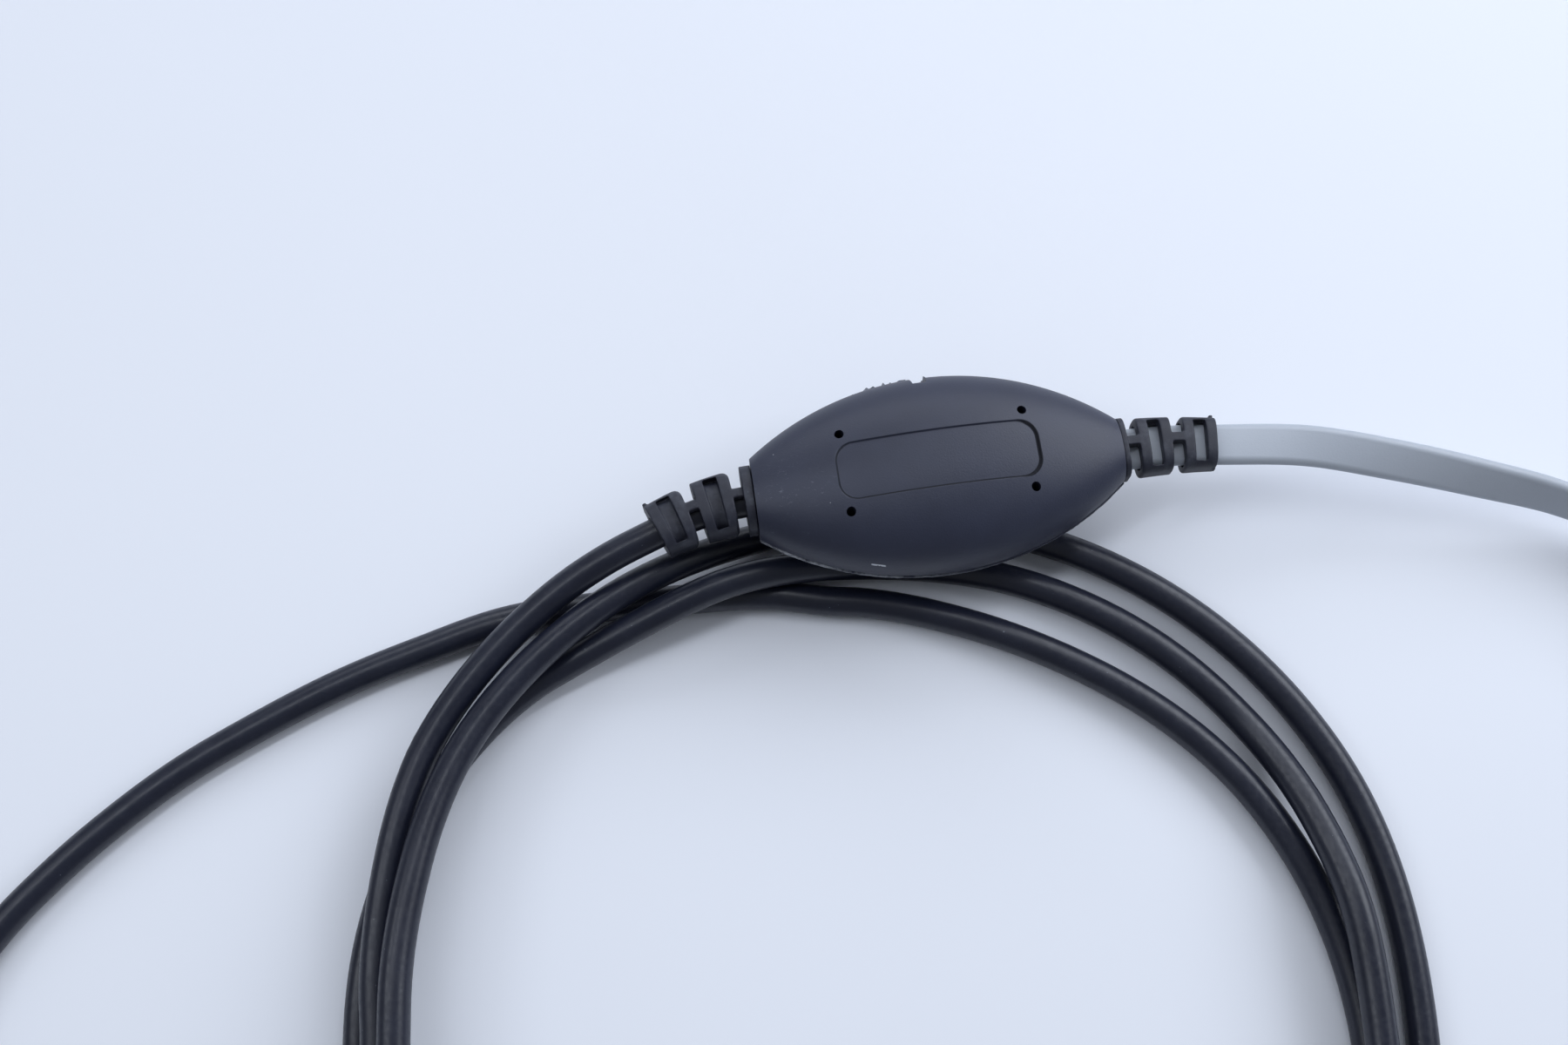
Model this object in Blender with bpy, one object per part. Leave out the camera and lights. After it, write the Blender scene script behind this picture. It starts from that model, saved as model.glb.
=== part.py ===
"""An in-line moulded pod that joins a coiled round cord to a flat cord, with a plug on each cord's far end.

The origin is the middle of the pod on its seam. +X runs along the pod towards the flat cord, +Y to the
back and +Z up. All sizes are in metres, and all angles that end in _DEG are in degrees.
"""

import math

import bmesh
import bpy
from mathutils import Matrix, Vector
from mathutils.kdtree import KDTree

# Gaps: between pieces that touch, and between small pieces that are pressed or soldered together.
CLEARANCE = 0.0003
FINE_CLEARANCE = 0.0001

# The pod: two shells that meet at a seam, widest a little to the round cord's side of the middle.
POD_LENGTH = 0.0594
POD_WIDTH = 0.0326
WIDEST_X = -0.0007
CROWN_HEIGHT = 0.0102
BELLY_DEPTH = 0.0098
PAD_DEPTH = 0.0090
ROUND_END_WIDTH = 0.0134
ROUND_END_HEIGHT = 0.0114
FLAT_END_WIDTH = 0.0106
FLAT_END_HEIGHT = 0.0092
SECTION_POWER = 2.3
WALL = 0.0012
END_WALL = 0.0020
SEAM_GAP = 0.0003

# The moulding fin along the seam, and the bite torn out of it at the back.
FIN_REACH = 0.0003
FIN_THICKNESS = 0.0004
BITE_X = -0.0008
BITE_LENGTH = 0.0024

# The bare label panel, and the four pins that hold the shells together.
PANEL_X = -0.0005
PANEL_LENGTH = 0.0320
PANEL_WIDTH = 0.0093
PANEL_CORNER = 0.0030
PANEL_DEPTH = 0.0004
PIN_SPACING_X = 0.0292
PIN_SPACING_Y = 0.0128
PIN_HOLE_RADIUS = 0.00075
BOSS_RADIUS = 0.0020
SHOULDER_RADIUS = 0.0019
POST_RADIUS = 0.0008
POST_HEIGHT = 0.0026

# The circuit board and what is soldered to it.
BOARD_LENGTH = 0.0350
BOARD_WIDTH = 0.0170
BOARD_THICKNESS = 0.0012
CHIP_LENGTH = 0.0098
CHIP_WIDTH = 0.0064
CHIP_HEIGHT = 0.0033
CHIP_STANDOFF = 0.0005
LEG_PITCH = 0.00254
LEG_WIDTH = 0.0005
LEG_THICKNESS = 0.00025
LEG_REACH = 0.0010
LEGS_PER_SIDE = 4
CAPACITOR_RADIUS = 0.0020
CAPACITOR_HEIGHT = 0.0046
CAPACITOR_OFFSET = 0.0080
RESISTOR_LENGTH = 0.0032
RESISTOR_WIDTH = 0.0016
RESISTOR_HEIGHT = 0.0006
RESISTOR_COUNT = 3
RESISTOR_PITCH = 0.0028
RESISTOR_OFFSET = 0.0086
PAD_OFFSET = 0.0140
WIRE_COUNT = 4
WIRE_RADIUS = 0.00045
WIRE_ARCH = 0.0013
WIRE_ARCH_PLACE = 0.25
ROUND_PAD_PITCH = 0.0020
FLAT_PAD_PITCH = 0.0020
FLAT_WIRE_PITCH = 0.0015
ROUND_WIRE_PITCH = 0.0012

# The cords, and how far they reach into the pod.
ROUND_CORD_DIAMETER = 0.0050
FLAT_CORD_WIDTH = 0.0068
FLAT_CORD_THICKNESS = 0.0024
ROUND_CORD_INSIDE = 0.0078
FLAT_CORD_INSIDE = 0.0072
CRIMP_LENGTH = 0.0030
CRIMP_WALL = 0.0006
CLAMP_LENGTH = 0.0024
CLAMP_WALL = 0.0009

# The strain reliefs: a collar behind the end wall, a neck through it, a flange, then two slotted blocks.
COLLAR_LENGTH = 0.0013
RELIEF_WEB = 0.0015
RELIEF_WEB_BACK = 0.0005
RELIEF_SIDE_BAR = 0.0008
WINDOW_FLOOR = 0.0010
ROUND_COLLAR_RADIUS = 0.0046
ROUND_NECK_RADIUS = 0.0038
ROUND_FLANGE_LENGTH = 0.0014
ROUND_FLANGE_WIDTH = 0.0112
ROUND_FLANGE_HEIGHT = 0.0102
ROUND_BLOCK_WIDTHS = (0.0107, 0.0092)
ROUND_BLOCK_HEIGHTS = (0.0090, 0.0084)
ROUND_BLOCK_POWER = 2.5
ROUND_SLOT = 0.0017
ROUND_RING = 0.0018
ROUND_WINDOW = 0.00215
ROUND_TURN_DEG = 22.0
FLAT_COLLAR_WIDTH = 0.0100
FLAT_COLLAR_HEIGHT = 0.0064
FLAT_NECK_WIDTH = 0.0086
FLAT_NECK_HEIGHT = 0.0046
FLAT_FLANGE_LENGTH = 0.0007
FLAT_FLANGE_WIDTH = 0.0100
FLAT_FLANGE_HEIGHT = 0.0082
FLAT_BLOCK_WIDTHS = (0.0097, 0.0084)
FLAT_BLOCK_HEIGHTS = (0.0071, 0.0066)
FLAT_BLOCK_POWER = 3.2
FLAT_SLOT = 0.0020
FLAT_RING = 0.0015
FLAT_WINDOW = 0.0023
FLAT_TURN_DEG = 8.5

# The round cord lies in loose loops on the table, and the pod rests on two of them. Its loops are read from
# how far the cord lies from the coil's middle, and how high its centreline is over the table, at chosen
# angles. The angles run on through the turns, counter-clockwise from +X.
COIL_CENTRE = (-0.0185, -0.0880)
COIL_POINTS_PER_LOOP = 36
COIL_FLAT_SHARE = 0.1
LEAST_COIL_GAP = 0.0004
COIL_REACH = (
    (125, 0.0900), (134, 0.0893), (141, 0.0883), (148, 0.0862), (155, 0.0840), (163, 0.0819),
    (172, 0.0799), (200, 0.0798), (240, 0.0812), (300, 0.0808), (354, 0.0794), (385, 0.0832),
    (420, 0.0854), (450, 0.0856), (467, 0.0850), (481, 0.0844), (490, 0.0840), (498, 0.0832),
    (505, 0.0818), (513, 0.0798), (522, 0.0780), (531, 0.0765), (560, 0.0749), (600, 0.0740),
    (640, 0.0734), (714, 0.0710), (735, 0.0734), (755, 0.0759), (785, 0.0775), (803, 0.0777),
    (819, 0.0784), (832, 0.0788), (841, 0.0805), (848, 0.0828), (856, 0.0844), (868, 0.0854),
    (880, 0.0852), (893, 0.0839), (930, 0.0810), (990, 0.0766), (1074, 0.0709), (1105, 0.0692),
    (1134, 0.0676), (1152, 0.0688), (1171, 0.0726),
)
COIL_LEVEL = (
    (125, 0.0093), (140, 0.0086), (165, 0.0083), (235, 0.0083), (262, 0.0071), (288, 0.0042),
    (310, 0.0025), (448, 0.0025), (456, 0.0030), (463, 0.0050), (470, 0.0075), (477, 0.0090),
    (490, 0.0096), (503, 0.0108), (515, 0.0121), (530, 0.0128), (550, 0.0121), (600, 0.0087),
    (630, 0.0084), (727, 0.0084), (742, 0.0058), (757, 0.0025), (795, 0.0025), (804, 0.0033),
    (812, 0.0054), (819, 0.0077), (825, 0.0087), (831, 0.0077), (837, 0.0060), (843, 0.0042),
    (850, 0.0030), (858, 0.0025), (1171, 0.0025),
)
# The free stretches of the cords, as points over the table: x, y and the height of the centreline.
LEAD_POINTS = ((-0.0539, -0.0056, 0.0126), (-0.0618, -0.0090, 0.0107))
TAIL_POINTS = (
    (-0.0300, -0.0129, 0.0025), (-0.0469, -0.0116, 0.0025), (-0.0714, -0.0111, 0.0025),
    (-0.0872, -0.0143, 0.0025), (-0.1005, -0.0179, 0.0025), (-0.1140, -0.0229, 0.0025),
    (-0.1275, -0.0289, 0.0025), (-0.1397, -0.0362, 0.0025), (-0.1485, -0.0426, 0.0025),
    (-0.1562, -0.0494, 0.0027), (-0.1626, -0.0576, 0.0033), (-0.1672, -0.0680, 0.0047),
    (-0.1695, -0.0800, 0.0065), (-0.1700, -0.0920, 0.0078),
)
FLAT_POINTS = (
    (0.0609, -0.0029, 0.0124), (0.0748, -0.0068, 0.0110), (0.0888, -0.0114, 0.0092),
    (0.1024, -0.0166, 0.0076), (0.1118, -0.0225, 0.0065), (0.1186, -0.0310, 0.0058),
    (0.1220, -0.0420, 0.0055), (0.1230, -0.0540, 0.0055),
)
# The flat cord's twist in degrees, by the distance from its relief: it lies flat at 0 and on edge at 90.
FLAT_TWIST = (
    (0.000, 0.0), (0.015, 10.0), (0.030, 25.0), (0.045, 43.0), (0.060, 62.0), (0.072, 78.0),
    (0.083, 88.0), (0.095, 90.0), (0.110, 90.0),
)
ROUTE_SPACING = 0.0120
FLAT_ROUTE_SPACING = 0.0080
WIRE_SPACING = 0.0020
CURVE_STEPS = 24
RELIEF_AXIS_STEPS = 4
GAP_SAMPLES = 8
GAP_SKIPPED_DIAMETERS = 5

# The modular plug on the flat cord, lying on its side, with its latch to the outside.
MODULAR_REAR = (0.1230, -0.0680)
MODULAR_LENGTH = 0.0124
MODULAR_WIDTH = 0.00965
MODULAR_HEIGHT = 0.0066
MODULAR_CAVITY = 0.0072
MODULAR_LIFT = 0.0002
CONTACT_COUNT = 4
CONTACT_PITCH = 0.00102
CONTACT_LENGTH = 0.0034
CONTACT_HEIGHT = 0.0026
CONTACT_THICKNESS = 0.0003
CONTACT_SETBACK = 0.0006
CONTACT_SINK = 0.0003
CLAMP_BAR_LENGTH = 0.0018
CLAMP_BAR_WIDTH = 0.0046
CLAMP_BAR_SETBACK = 0.0026
LIP_LENGTH = 0.0010
LIP_DEPTH = 0.0013
LATCH_WIDTH = 0.0060
LATCH_SHOULDER = 0.0042
LATCH_TONGUE_WIDTH = 0.0032
LATCH_LENGTH = 0.0120
LATCH_THICKNESS = 0.0010
LATCH_SLOPE_DEG = 12.0

# The round plug on the round cord: a boot, a barrel with its insulator and pins, and a locking ring.
ROUND_PLUG_REAR = (-0.1700, -0.1030)
BOOT_LENGTH = 0.0215
BOOT_REAR_RADIUS = 0.0040
BOOT_FRONT_RADIUS = 0.0058
BOOT_GROOVES = 5
BOOT_GROOVE_DEPTH = 0.0006
BOOT_SPIGOT = 0.0045
GRIP_LENGTH = 0.0098
GRIP_RADIUS = 0.0073
SLEEVE_LENGTH = 0.0102
SLEEVE_RADIUS = 0.0050
SLEEVE_BORE = 0.0042
SHROUD_DEPTH = 0.0034
INSULATOR_LENGTH = 0.0042
PLUG_PIN_RADIUS = 0.0005
PLUG_PIN_LENGTH = 0.0074
PLUG_PIN_SETBACK = 0.0010
PLUG_PIN_CIRCLE = 0.0022
PLUG_PIN_COUNT = 4
RING_RADIUS = 0.0070
RING_LENGTH = 0.0094
RING_LIP = 0.0024
RING_THREAD_RADIUS = 0.0060
RING_RIBS = 18
RING_RIB_DEPTH = 0.0003
CLIP_LENGTH = 0.0006
CLIP_GROOVE = 0.0004
CLIP_REACH = 0.0006
ROUND_PLUG_LIFT = 0.0002
WIRED_LENGTH = 0.0075

# How finely the round shapes are cut.
POD_STATIONS = 24
POD_ARC_STEPS = 16
HOLLOW_STATIONS = 12
HOLLOW_ARC_STEPS = 10
ROUND_SIDES = 24
RELIEF_SIDES = 16
HOLE_SIDES = 12
BOSS_SIDES = 12
CORNER_STEPS = 4
COIL_BEVEL = 1
CORD_BEVEL = 2
FLAT_CORD_SIDES = 12
SHARP_DEG = 32.0

# Levels that follow from the sizes: the table, the board and the flats under the coil.
TABLE_Z = -(PAD_DEPTH + CLEARANCE + ROUND_CORD_DIAMETER)
FLAT_Z = TABLE_Z + ROUND_CORD_DIAMETER * COIL_FLAT_SHARE
BOARD_TOP = SEAM_GAP / 2 - CLEARANCE
BOARD_BOTTOM = BOARD_TOP - BOARD_THICKNESS
ROUND_PLUG_LENGTH = BOOT_LENGTH + CLEARANCE + GRIP_LENGTH + SLEEVE_LENGTH

# Colour, roughness and metallic value of each kind of material.
LOOKS = {
    "pod_plastic": ((0.080, 0.088, 0.122), 0.42, 0.0),
    "relief_rubber": ((0.024, 0.026, 0.040), 0.50, 0.0),
    "round_cord_jacket": ((0.026, 0.027, 0.036), 0.38, 0.0),
    "flat_cord_jacket": ((0.430, 0.470, 0.560), 0.40, 0.0),
    "board_laminate": ((0.030, 0.160, 0.070), 0.55, 0.0),
    "component_black": ((0.020, 0.020, 0.022), 0.50, 0.0),
    "capacitor_sleeve": ((0.035, 0.050, 0.140), 0.40, 0.0),
    "wire_insulation": ((0.420, 0.060, 0.050), 0.45, 0.0),
    "clear_plastic": ((0.620, 0.640, 0.660), 0.15, 0.0),
    "contact_gold": ((0.830, 0.610, 0.230), 0.25, 1.0),
    "plug_steel": ((0.560, 0.570, 0.590), 0.30, 1.0),
    "insulator_plastic": ((0.045, 0.045, 0.050), 0.50, 0.0),
}


def make_material(name, look):
    colour, roughness, metallic = LOOKS[look]
    material = bpy.data.materials.new(name)
    material.use_nodes = True
    shader = material.node_tree.nodes["Principled BSDF"]
    shader.inputs["Base Color"].default_value = (*colour, 1.0)
    shader.inputs["Roughness"].default_value = roughness
    shader.inputs["Metallic"].default_value = metallic
    return material


def solid(name, shape):
    """An object made from a closed bmesh."""
    bmesh.ops.recalc_face_normals(shape, faces=shape.faces)
    mesh = bpy.data.meshes.new(name)
    shape.to_mesh(mesh)
    shape.free()
    made = bpy.data.objects.new(name, mesh)
    bpy.context.scene.collection.objects.link(made)
    return made


def replace_mesh(target, mesh):
    old = target.data
    target.modifiers.clear()
    target.data = mesh
    bpy.data.meshes.remove(old)


def evaluated_mesh(target):
    graph = bpy.context.evaluated_depsgraph_get()
    return bpy.data.meshes.new_from_object(target.evaluated_get(graph))


def combine(target, shape, operation):
    """Cuts a closed bmesh out of an object (DIFFERENCE), or joins it on (UNION)."""
    tool = solid("tool", shape)
    modifier = target.modifiers.new("combine", "BOOLEAN")
    modifier.operation = operation
    modifier.object = tool
    replace_mesh(target, evaluated_mesh(target))
    tool_mesh = tool.data
    bpy.data.objects.remove(tool)
    bpy.data.meshes.remove(tool_mesh)


def cut(target, shape):
    combine(target, shape, "DIFFERENCE")


def join(target, shape):
    combine(target, shape, "UNION")


def finish(target, look, parent=None):
    """Shades an object, gives it its own material and hangs it on its parent."""
    target.data.materials.clear()
    target.data.materials.append(make_material(target.name, look))
    target.data.shade_smooth()
    target.data.set_sharp_from_angle(angle=math.radians(SHARP_DEG))
    if parent:
        target.parent = parent
    return target


def loft(rings, closed=False):
    """A solid through rings of equally many points, capped at both ends, or closed on itself."""
    shape = bmesh.new()
    rows = [[shape.verts.new(point) for point in ring] for ring in rings]
    pairs = list(zip(rows, rows[1:]))
    if closed:
        pairs.append((rows[-1], rows[0]))
    else:
        shape.faces.new(rows[0])
        shape.faces.new(rows[-1])
    for first, second in pairs:
        for index in range(len(first)):
            after = (index + 1) % len(first)
            shape.faces.new((first[index], first[after], second[after], second[index]))
    bmesh.ops.recalc_face_normals(shape, faces=shape.faces)
    return shape


def prism(outline, low, high):
    """A flat outline of (x, y) points, raised from low to high along Z."""
    return loft([[Vector((x, y, z)) for x, y in outline] for z in (low, high)])


def box(x, y, z):
    """A box between pairs of limits."""
    return prism([(x[0], y[0]), (x[1], y[0]), (x[1], y[1]), (x[0], y[1])], *z)


def arc_point(radius, turn, x=0.0):
    return Vector((x, radius * math.cos(turn), radius * math.sin(turn)))


def circle(x, radius, sides=ROUND_SIDES):
    """A ring about the X axis."""
    return [arc_point(radius, math.tau * step / sides, x) for step in range(sides)]


def turned(profile, sides=ROUND_SIDES):
    """A closed outline of (x, radius) points turned about the X axis, open along its bore."""
    return loft([circle(x, radius, sides) for x, radius in profile], closed=True)


def rod(start, stop, radius, sides=ROUND_SIDES):
    """A plain cylinder along the X axis."""
    return loft([circle(start, radius, sides), circle(stop, radius, sides)])


def upright(x, y, low, high, radius, sides=ROUND_SIDES):
    """A plain cylinder along Z."""
    outline = []
    for step in range(sides):
        turn = math.tau * step / sides
        outline.append((x + radius * math.cos(turn), y + radius * math.sin(turn)))
    return prism(outline, low, high)


def rounded_outline(length, width, corner):
    """A rectangle with round corners about the origin."""
    points = []
    for quarter, (across, along) in enumerate(((1, 1), (-1, 1), (-1, -1), (1, -1))):
        for step in range(CORNER_STEPS + 1):
            turn = math.pi / 2 * (quarter + step / CORNER_STEPS)
            x = across * (length / 2 - corner) + corner * math.cos(turn)
            y = along * (width / 2 - corner) + corner * math.sin(turn)
            points.append((x, y))
    return points


def oval(half_width, half_height, power, sides=ROUND_SIDES):
    """(y, z) points of a superellipse, round at power 2 and squarer above it."""
    points = []
    for step in range(sides):
        turn = math.tau * step / sides
        across = math.copysign(abs(math.cos(turn)) ** (2 / power), math.cos(turn))
        up = math.copysign(abs(math.sin(turn)) ** (2 / power), math.sin(turn))
        points.append((half_width * across, half_height * up))
    return points


def bulge(x, round_end, flat_end, middle):
    """A size of the pod at x: a circular arc from each end up to the widest place."""
    if x < WIDEST_X:
        run, end = POD_LENGTH / 2 + WIDEST_X, round_end
    else:
        run, end = POD_LENGTH / 2 - WIDEST_X, flat_end
    drop = middle - end
    radius = (run * run + drop * drop) / (2 * drop)
    return middle - radius + math.sqrt(radius * radius - (x - WIDEST_X) ** 2)


def pod_half_width(x):
    return bulge(x, ROUND_END_WIDTH / 2, FLAT_END_WIDTH / 2, POD_WIDTH / 2)


def half_section(x, side, inset, base, steps):
    """Half of the pod's section at x, above the seam (side 1) or below it (side -1)."""
    middle = CROWN_HEIGHT if side > 0 else BELLY_DEPTH
    width = pod_half_width(x) - inset
    height = bulge(x, ROUND_END_HEIGHT / 2, FLAT_END_HEIGHT / 2, middle) - inset
    ring = []
    for step in range(steps + 1):
        turn = math.pi * step / steps
        across = math.copysign(abs(math.cos(turn)) ** (2 / SECTION_POWER), math.cos(turn))
        z = base
        if 0 < step < steps:
            up = height * math.sin(turn) ** (2 / SECTION_POWER)
            z = up if side > 0 else -min(up, PAD_DEPTH - inset)
        ring.append(Vector((x, width * across, z)))
    return ring


def half_pod(side, inset, base, end_inset=0.0, stations=POD_STATIONS, steps=POD_ARC_STEPS):
    """Half of the pod as a solid, drawn in by an inset, with its flat side at base."""
    start = -POD_LENGTH / 2 + end_inset
    stop = POD_LENGTH / 2 - end_inset
    rings = []
    for station in range(stations + 1):
        x = start + (stop - start) * station / stations
        rings.append(half_section(x, side, inset, base, steps))
    return loft(rings)


def hollow_pod(side, columns):
    """The space inside one shell, without the columns that stand in it."""
    shape = half_pod(side, WALL, -side * WALL, END_WALL, HOLLOW_STATIONS, HOLLOW_ARC_STEPS)
    hollow = solid("hollow", shape)
    for column in columns:
        cut(hollow, column)
    return shape_of(hollow)


def shape_of(target):
    """An object's mesh as a bmesh, with the object removed."""
    shape = bmesh.new()
    shape.from_mesh(target.data)
    mesh = target.data
    bpy.data.objects.remove(target)
    bpy.data.meshes.remove(mesh)
    return shape


def pin_places():
    for x in (-PIN_SPACING_X / 2, PIN_SPACING_X / 2):
        for y in (-PIN_SPACING_Y / 2, PIN_SPACING_Y / 2):
            yield WIDEST_X + x, y


def neck_openings():
    """The holes that the two necks pass through, as cutters through the end walls."""
    reach = END_WALL + CLEARANCE
    outside = POD_LENGTH / 2 + CLEARANCE
    inside = POD_LENGTH / 2 - reach
    yield rod(-outside, -inside, ROUND_NECK_RADIUS + CLEARANCE)
    width = FLAT_NECK_WIDTH / 2 + CLEARANCE
    height = FLAT_NECK_HEIGHT / 2 + CLEARANCE
    ring = oval(width, height, FLAT_BLOCK_POWER)
    yield loft([[Vector((x, y, z)) for y, z in ring] for x in (inside, outside)])


def make_upper_shell():
    seam = SEAM_GAP / 2
    shell = solid("upper_shell", half_pod(1, 0.0, seam))
    bosses = [upright(x, y, seam, CROWN_HEIGHT, BOSS_RADIUS, BOSS_SIDES) for x, y in pin_places()]
    cut(shell, hollow_pod(1, bosses))
    for x, y in pin_places():
        cut(shell, upright(x, y, -WALL, CROWN_HEIGHT + WALL, PIN_HOLE_RADIUS, HOLE_SIDES))
        top = POST_HEIGHT + CLEARANCE
        cut(shell, upright(x, y, -WALL, top, POST_RADIUS + CLEARANCE, HOLE_SIDES))
    for opening in neck_openings():
        cut(shell, opening)
    outline = rounded_outline(PANEL_LENGTH, PANEL_WIDTH, PANEL_CORNER)
    outline = [(x + PANEL_X, y) for x, y in outline]
    panel = solid("panel", prism(outline, WALL, CROWN_HEIGHT + WALL))
    cut(panel, half_pod(1, PANEL_DEPTH, 0.0))
    cut(shell, shape_of(panel))
    finish(shell, "pod_plastic")


def make_lower_shell():
    seam = -SEAM_GAP / 2
    shell = solid("lower_shell", half_pod(-1, 0.0, seam))
    edge = []
    for station in range(POD_STATIONS + 1):
        x = POD_LENGTH * (station / POD_STATIONS - 0.5)
        edge.append((x, pod_half_width(x) + FIN_REACH))
    fin = edge + [(x, -y) for x, y in reversed(edge)]
    join(shell, prism(fin, seam - FIN_THICKNESS, seam))
    seat = BOARD_BOTTOM - CLEARANCE
    shoulders = [upright(x, y, -BELLY_DEPTH, seat, SHOULDER_RADIUS, BOSS_SIDES) for x, y in pin_places()]
    cut(shell, hollow_pod(-1, shoulders))
    for x, y in pin_places():
        join(shell, upright(x, y, seat - POST_RADIUS, POST_HEIGHT, POST_RADIUS, HOLE_SIDES))
    for opening in neck_openings():
        cut(shell, opening)
    rim = pod_half_width(BITE_X)
    bite = (BITE_X - BITE_LENGTH / 2, BITE_X + BITE_LENGTH / 2)
    depth = (seam - 2 * FIN_THICKNESS, seam + FIN_THICKNESS)
    cut(shell, box(bite, (rim, rim + 2 * FIN_REACH), depth))
    finish(shell, "pod_plastic")


def relief_place(end, along, side, up):
    """A place in a strain relief: along its bent axis from the pod's end, to the back and up."""
    turn, length = relief_bend(end)
    radius = length / turn
    if along <= 0:
        out, across = along, side
    else:
        out = (radius + side) * math.sin(along / radius)
        across = (radius + side) * math.cos(along / radius) - radius
    return Vector((end * (POD_LENGTH / 2 + out), across, up))


def relief_bend(end):
    """The angle that a relief turns through, and its length outside the pod."""
    if end < 0:
        turn, flange = ROUND_TURN_DEG, ROUND_FLANGE_LENGTH
        block = ROUND_SLOT + 2 * ROUND_RING + ROUND_WINDOW
    else:
        turn, flange = FLAT_TURN_DEG, FLAT_FLANGE_LENGTH
        block = FLAT_SLOT + 2 * FLAT_RING + FLAT_WINDOW
    return math.radians(turn), CLEARANCE + flange + 2 * block


def make_relief(name, end, root, slots, sizes, power, bore):
    """A strain relief: its stepped outside, its bore, slots between the blocks and windows in them.

    Each step of its root is (length, half width, half height, power), from the collar outwards. Its two
    blocks taper together, from the first (width, height) of its sizes to the last.
    """
    along = -(END_WALL + CLEARANCE + COLLAR_LENGTH)
    bores = [along - COLLAR_LENGTH]
    rings = []
    for length, half_width, half_height, root_power in root:
        for place in (along, along + length):
            rings.append(section_at(place, oval(half_width, half_height, root_power, RELIEF_SIDES)))
        along += length
        bores.append(along)
    stops = [along]
    for length in 2 * slots:
        stops.append(stops[-1] + length)
    half_widths = []
    for stop in stops:
        share = (stop - along) / (stops[-1] - along)
        half_width, half_height = (first + (last - first) * share for first, last in zip(*sizes))
        half_widths.append(half_width / 2)
        rings.append(section_at(stop, oval(half_width / 2, half_height / 2, power, RELIEF_SIDES)))
    bores += stops[1:-1] + [stops[-1] + COLLAR_LENGTH]
    relief = solid(name, loft(rings))
    cut(relief, loft([section_at(place, bore) for place in bores]))
    far = ROUND_FLANGE_WIDTH
    for block in (0, len(slots)):
        slot, window = stops[block:block + 2], stops[block + 2:block + 4]
        for side in (-1, 1):
            across = sorted((RELIEF_WEB_BACK + side * RELIEF_WEB / 2, side * far))
            cut(relief, box(slot, across, (-far, far)))
        opening = half_widths[block + 3] - RELIEF_SIDE_BAR
        for low, high in ((-far, -WINDOW_FLOOR), (WINDOW_FLOOR, far)):
            cut(relief, box(window, (-opening, opening), (low, high)))
    shape = shape_of(relief)
    bmesh.ops.triangulate(shape, faces=shape.faces)
    for vertex in shape.verts:
        vertex.co = relief_place(end, vertex.co.x, vertex.co.y, vertex.co.z)
    finish(solid(name, shape), "relief_rubber")


def section_at(x, outline):
    return [Vector((x, y, z)) for y, z in outline]


def make_reliefs():
    neck = END_WALL + 2 * CLEARANCE
    root = [
        (COLLAR_LENGTH, ROUND_COLLAR_RADIUS, ROUND_COLLAR_RADIUS, 2),
        (neck, ROUND_NECK_RADIUS, ROUND_NECK_RADIUS, 2),
        (ROUND_FLANGE_LENGTH, ROUND_FLANGE_WIDTH / 2, ROUND_FLANGE_HEIGHT / 2, ROUND_BLOCK_POWER),
    ]
    slots = (ROUND_SLOT, ROUND_RING, ROUND_WINDOW, ROUND_RING)
    sizes = list(zip(ROUND_BLOCK_WIDTHS, ROUND_BLOCK_HEIGHTS))
    radius = ROUND_CORD_DIAMETER / 2 + CLEARANCE
    bore = oval(radius, radius, 2, RELIEF_SIDES)
    make_relief("round_cord_relief", -1, root, slots, sizes, ROUND_BLOCK_POWER, bore)
    root = [
        (COLLAR_LENGTH, FLAT_COLLAR_WIDTH / 2, FLAT_COLLAR_HEIGHT / 2, FLAT_BLOCK_POWER),
        (neck, FLAT_NECK_WIDTH / 2, FLAT_NECK_HEIGHT / 2, FLAT_BLOCK_POWER),
        (FLAT_FLANGE_LENGTH, FLAT_FLANGE_WIDTH / 2, FLAT_FLANGE_HEIGHT / 2, FLAT_BLOCK_POWER),
    ]
    slots = (FLAT_SLOT, FLAT_RING, FLAT_WINDOW, FLAT_RING)
    sizes = list(zip(FLAT_BLOCK_WIDTHS, FLAT_BLOCK_HEIGHTS))
    make_relief("flat_cord_relief", 1, root, slots, sizes, FLAT_BLOCK_POWER, flat_cord_section(CLEARANCE))


def flat_cord_section(grow=0.0):
    """(across, up) points of the flat cord's section, with half-round edges."""
    radius = FLAT_CORD_THICKNESS / 2 + grow
    flat = FLAT_CORD_WIDTH / 2 - FLAT_CORD_THICKNESS / 2
    points = []
    half = FLAT_CORD_SIDES // 2
    for step in range(FLAT_CORD_SIDES):
        side = 1 if step < half else -1
        share = (step % half) / (half - 1)
        turn = math.pi * share - math.pi / 2
        if side < 0:
            turn += math.pi
        points.append((side * flat + radius * math.cos(turn), radius * math.sin(turn)))
    return points


def make_board():
    half = BOARD_WIDTH / 2
    length = (WIDEST_X - BOARD_LENGTH / 2, WIDEST_X + BOARD_LENGTH / 2)
    board = solid("circuit_board", box(length, (-half, half), (BOARD_BOTTOM, BOARD_TOP)))
    for x, y in pin_places():
        hole = upright(x, y, BOARD_BOTTOM - WALL, BOARD_TOP + WALL, POST_RADIUS + CLEARANCE, HOLE_SIDES)
        cut(board, hole)
    finish(board, "board_laminate")


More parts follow.
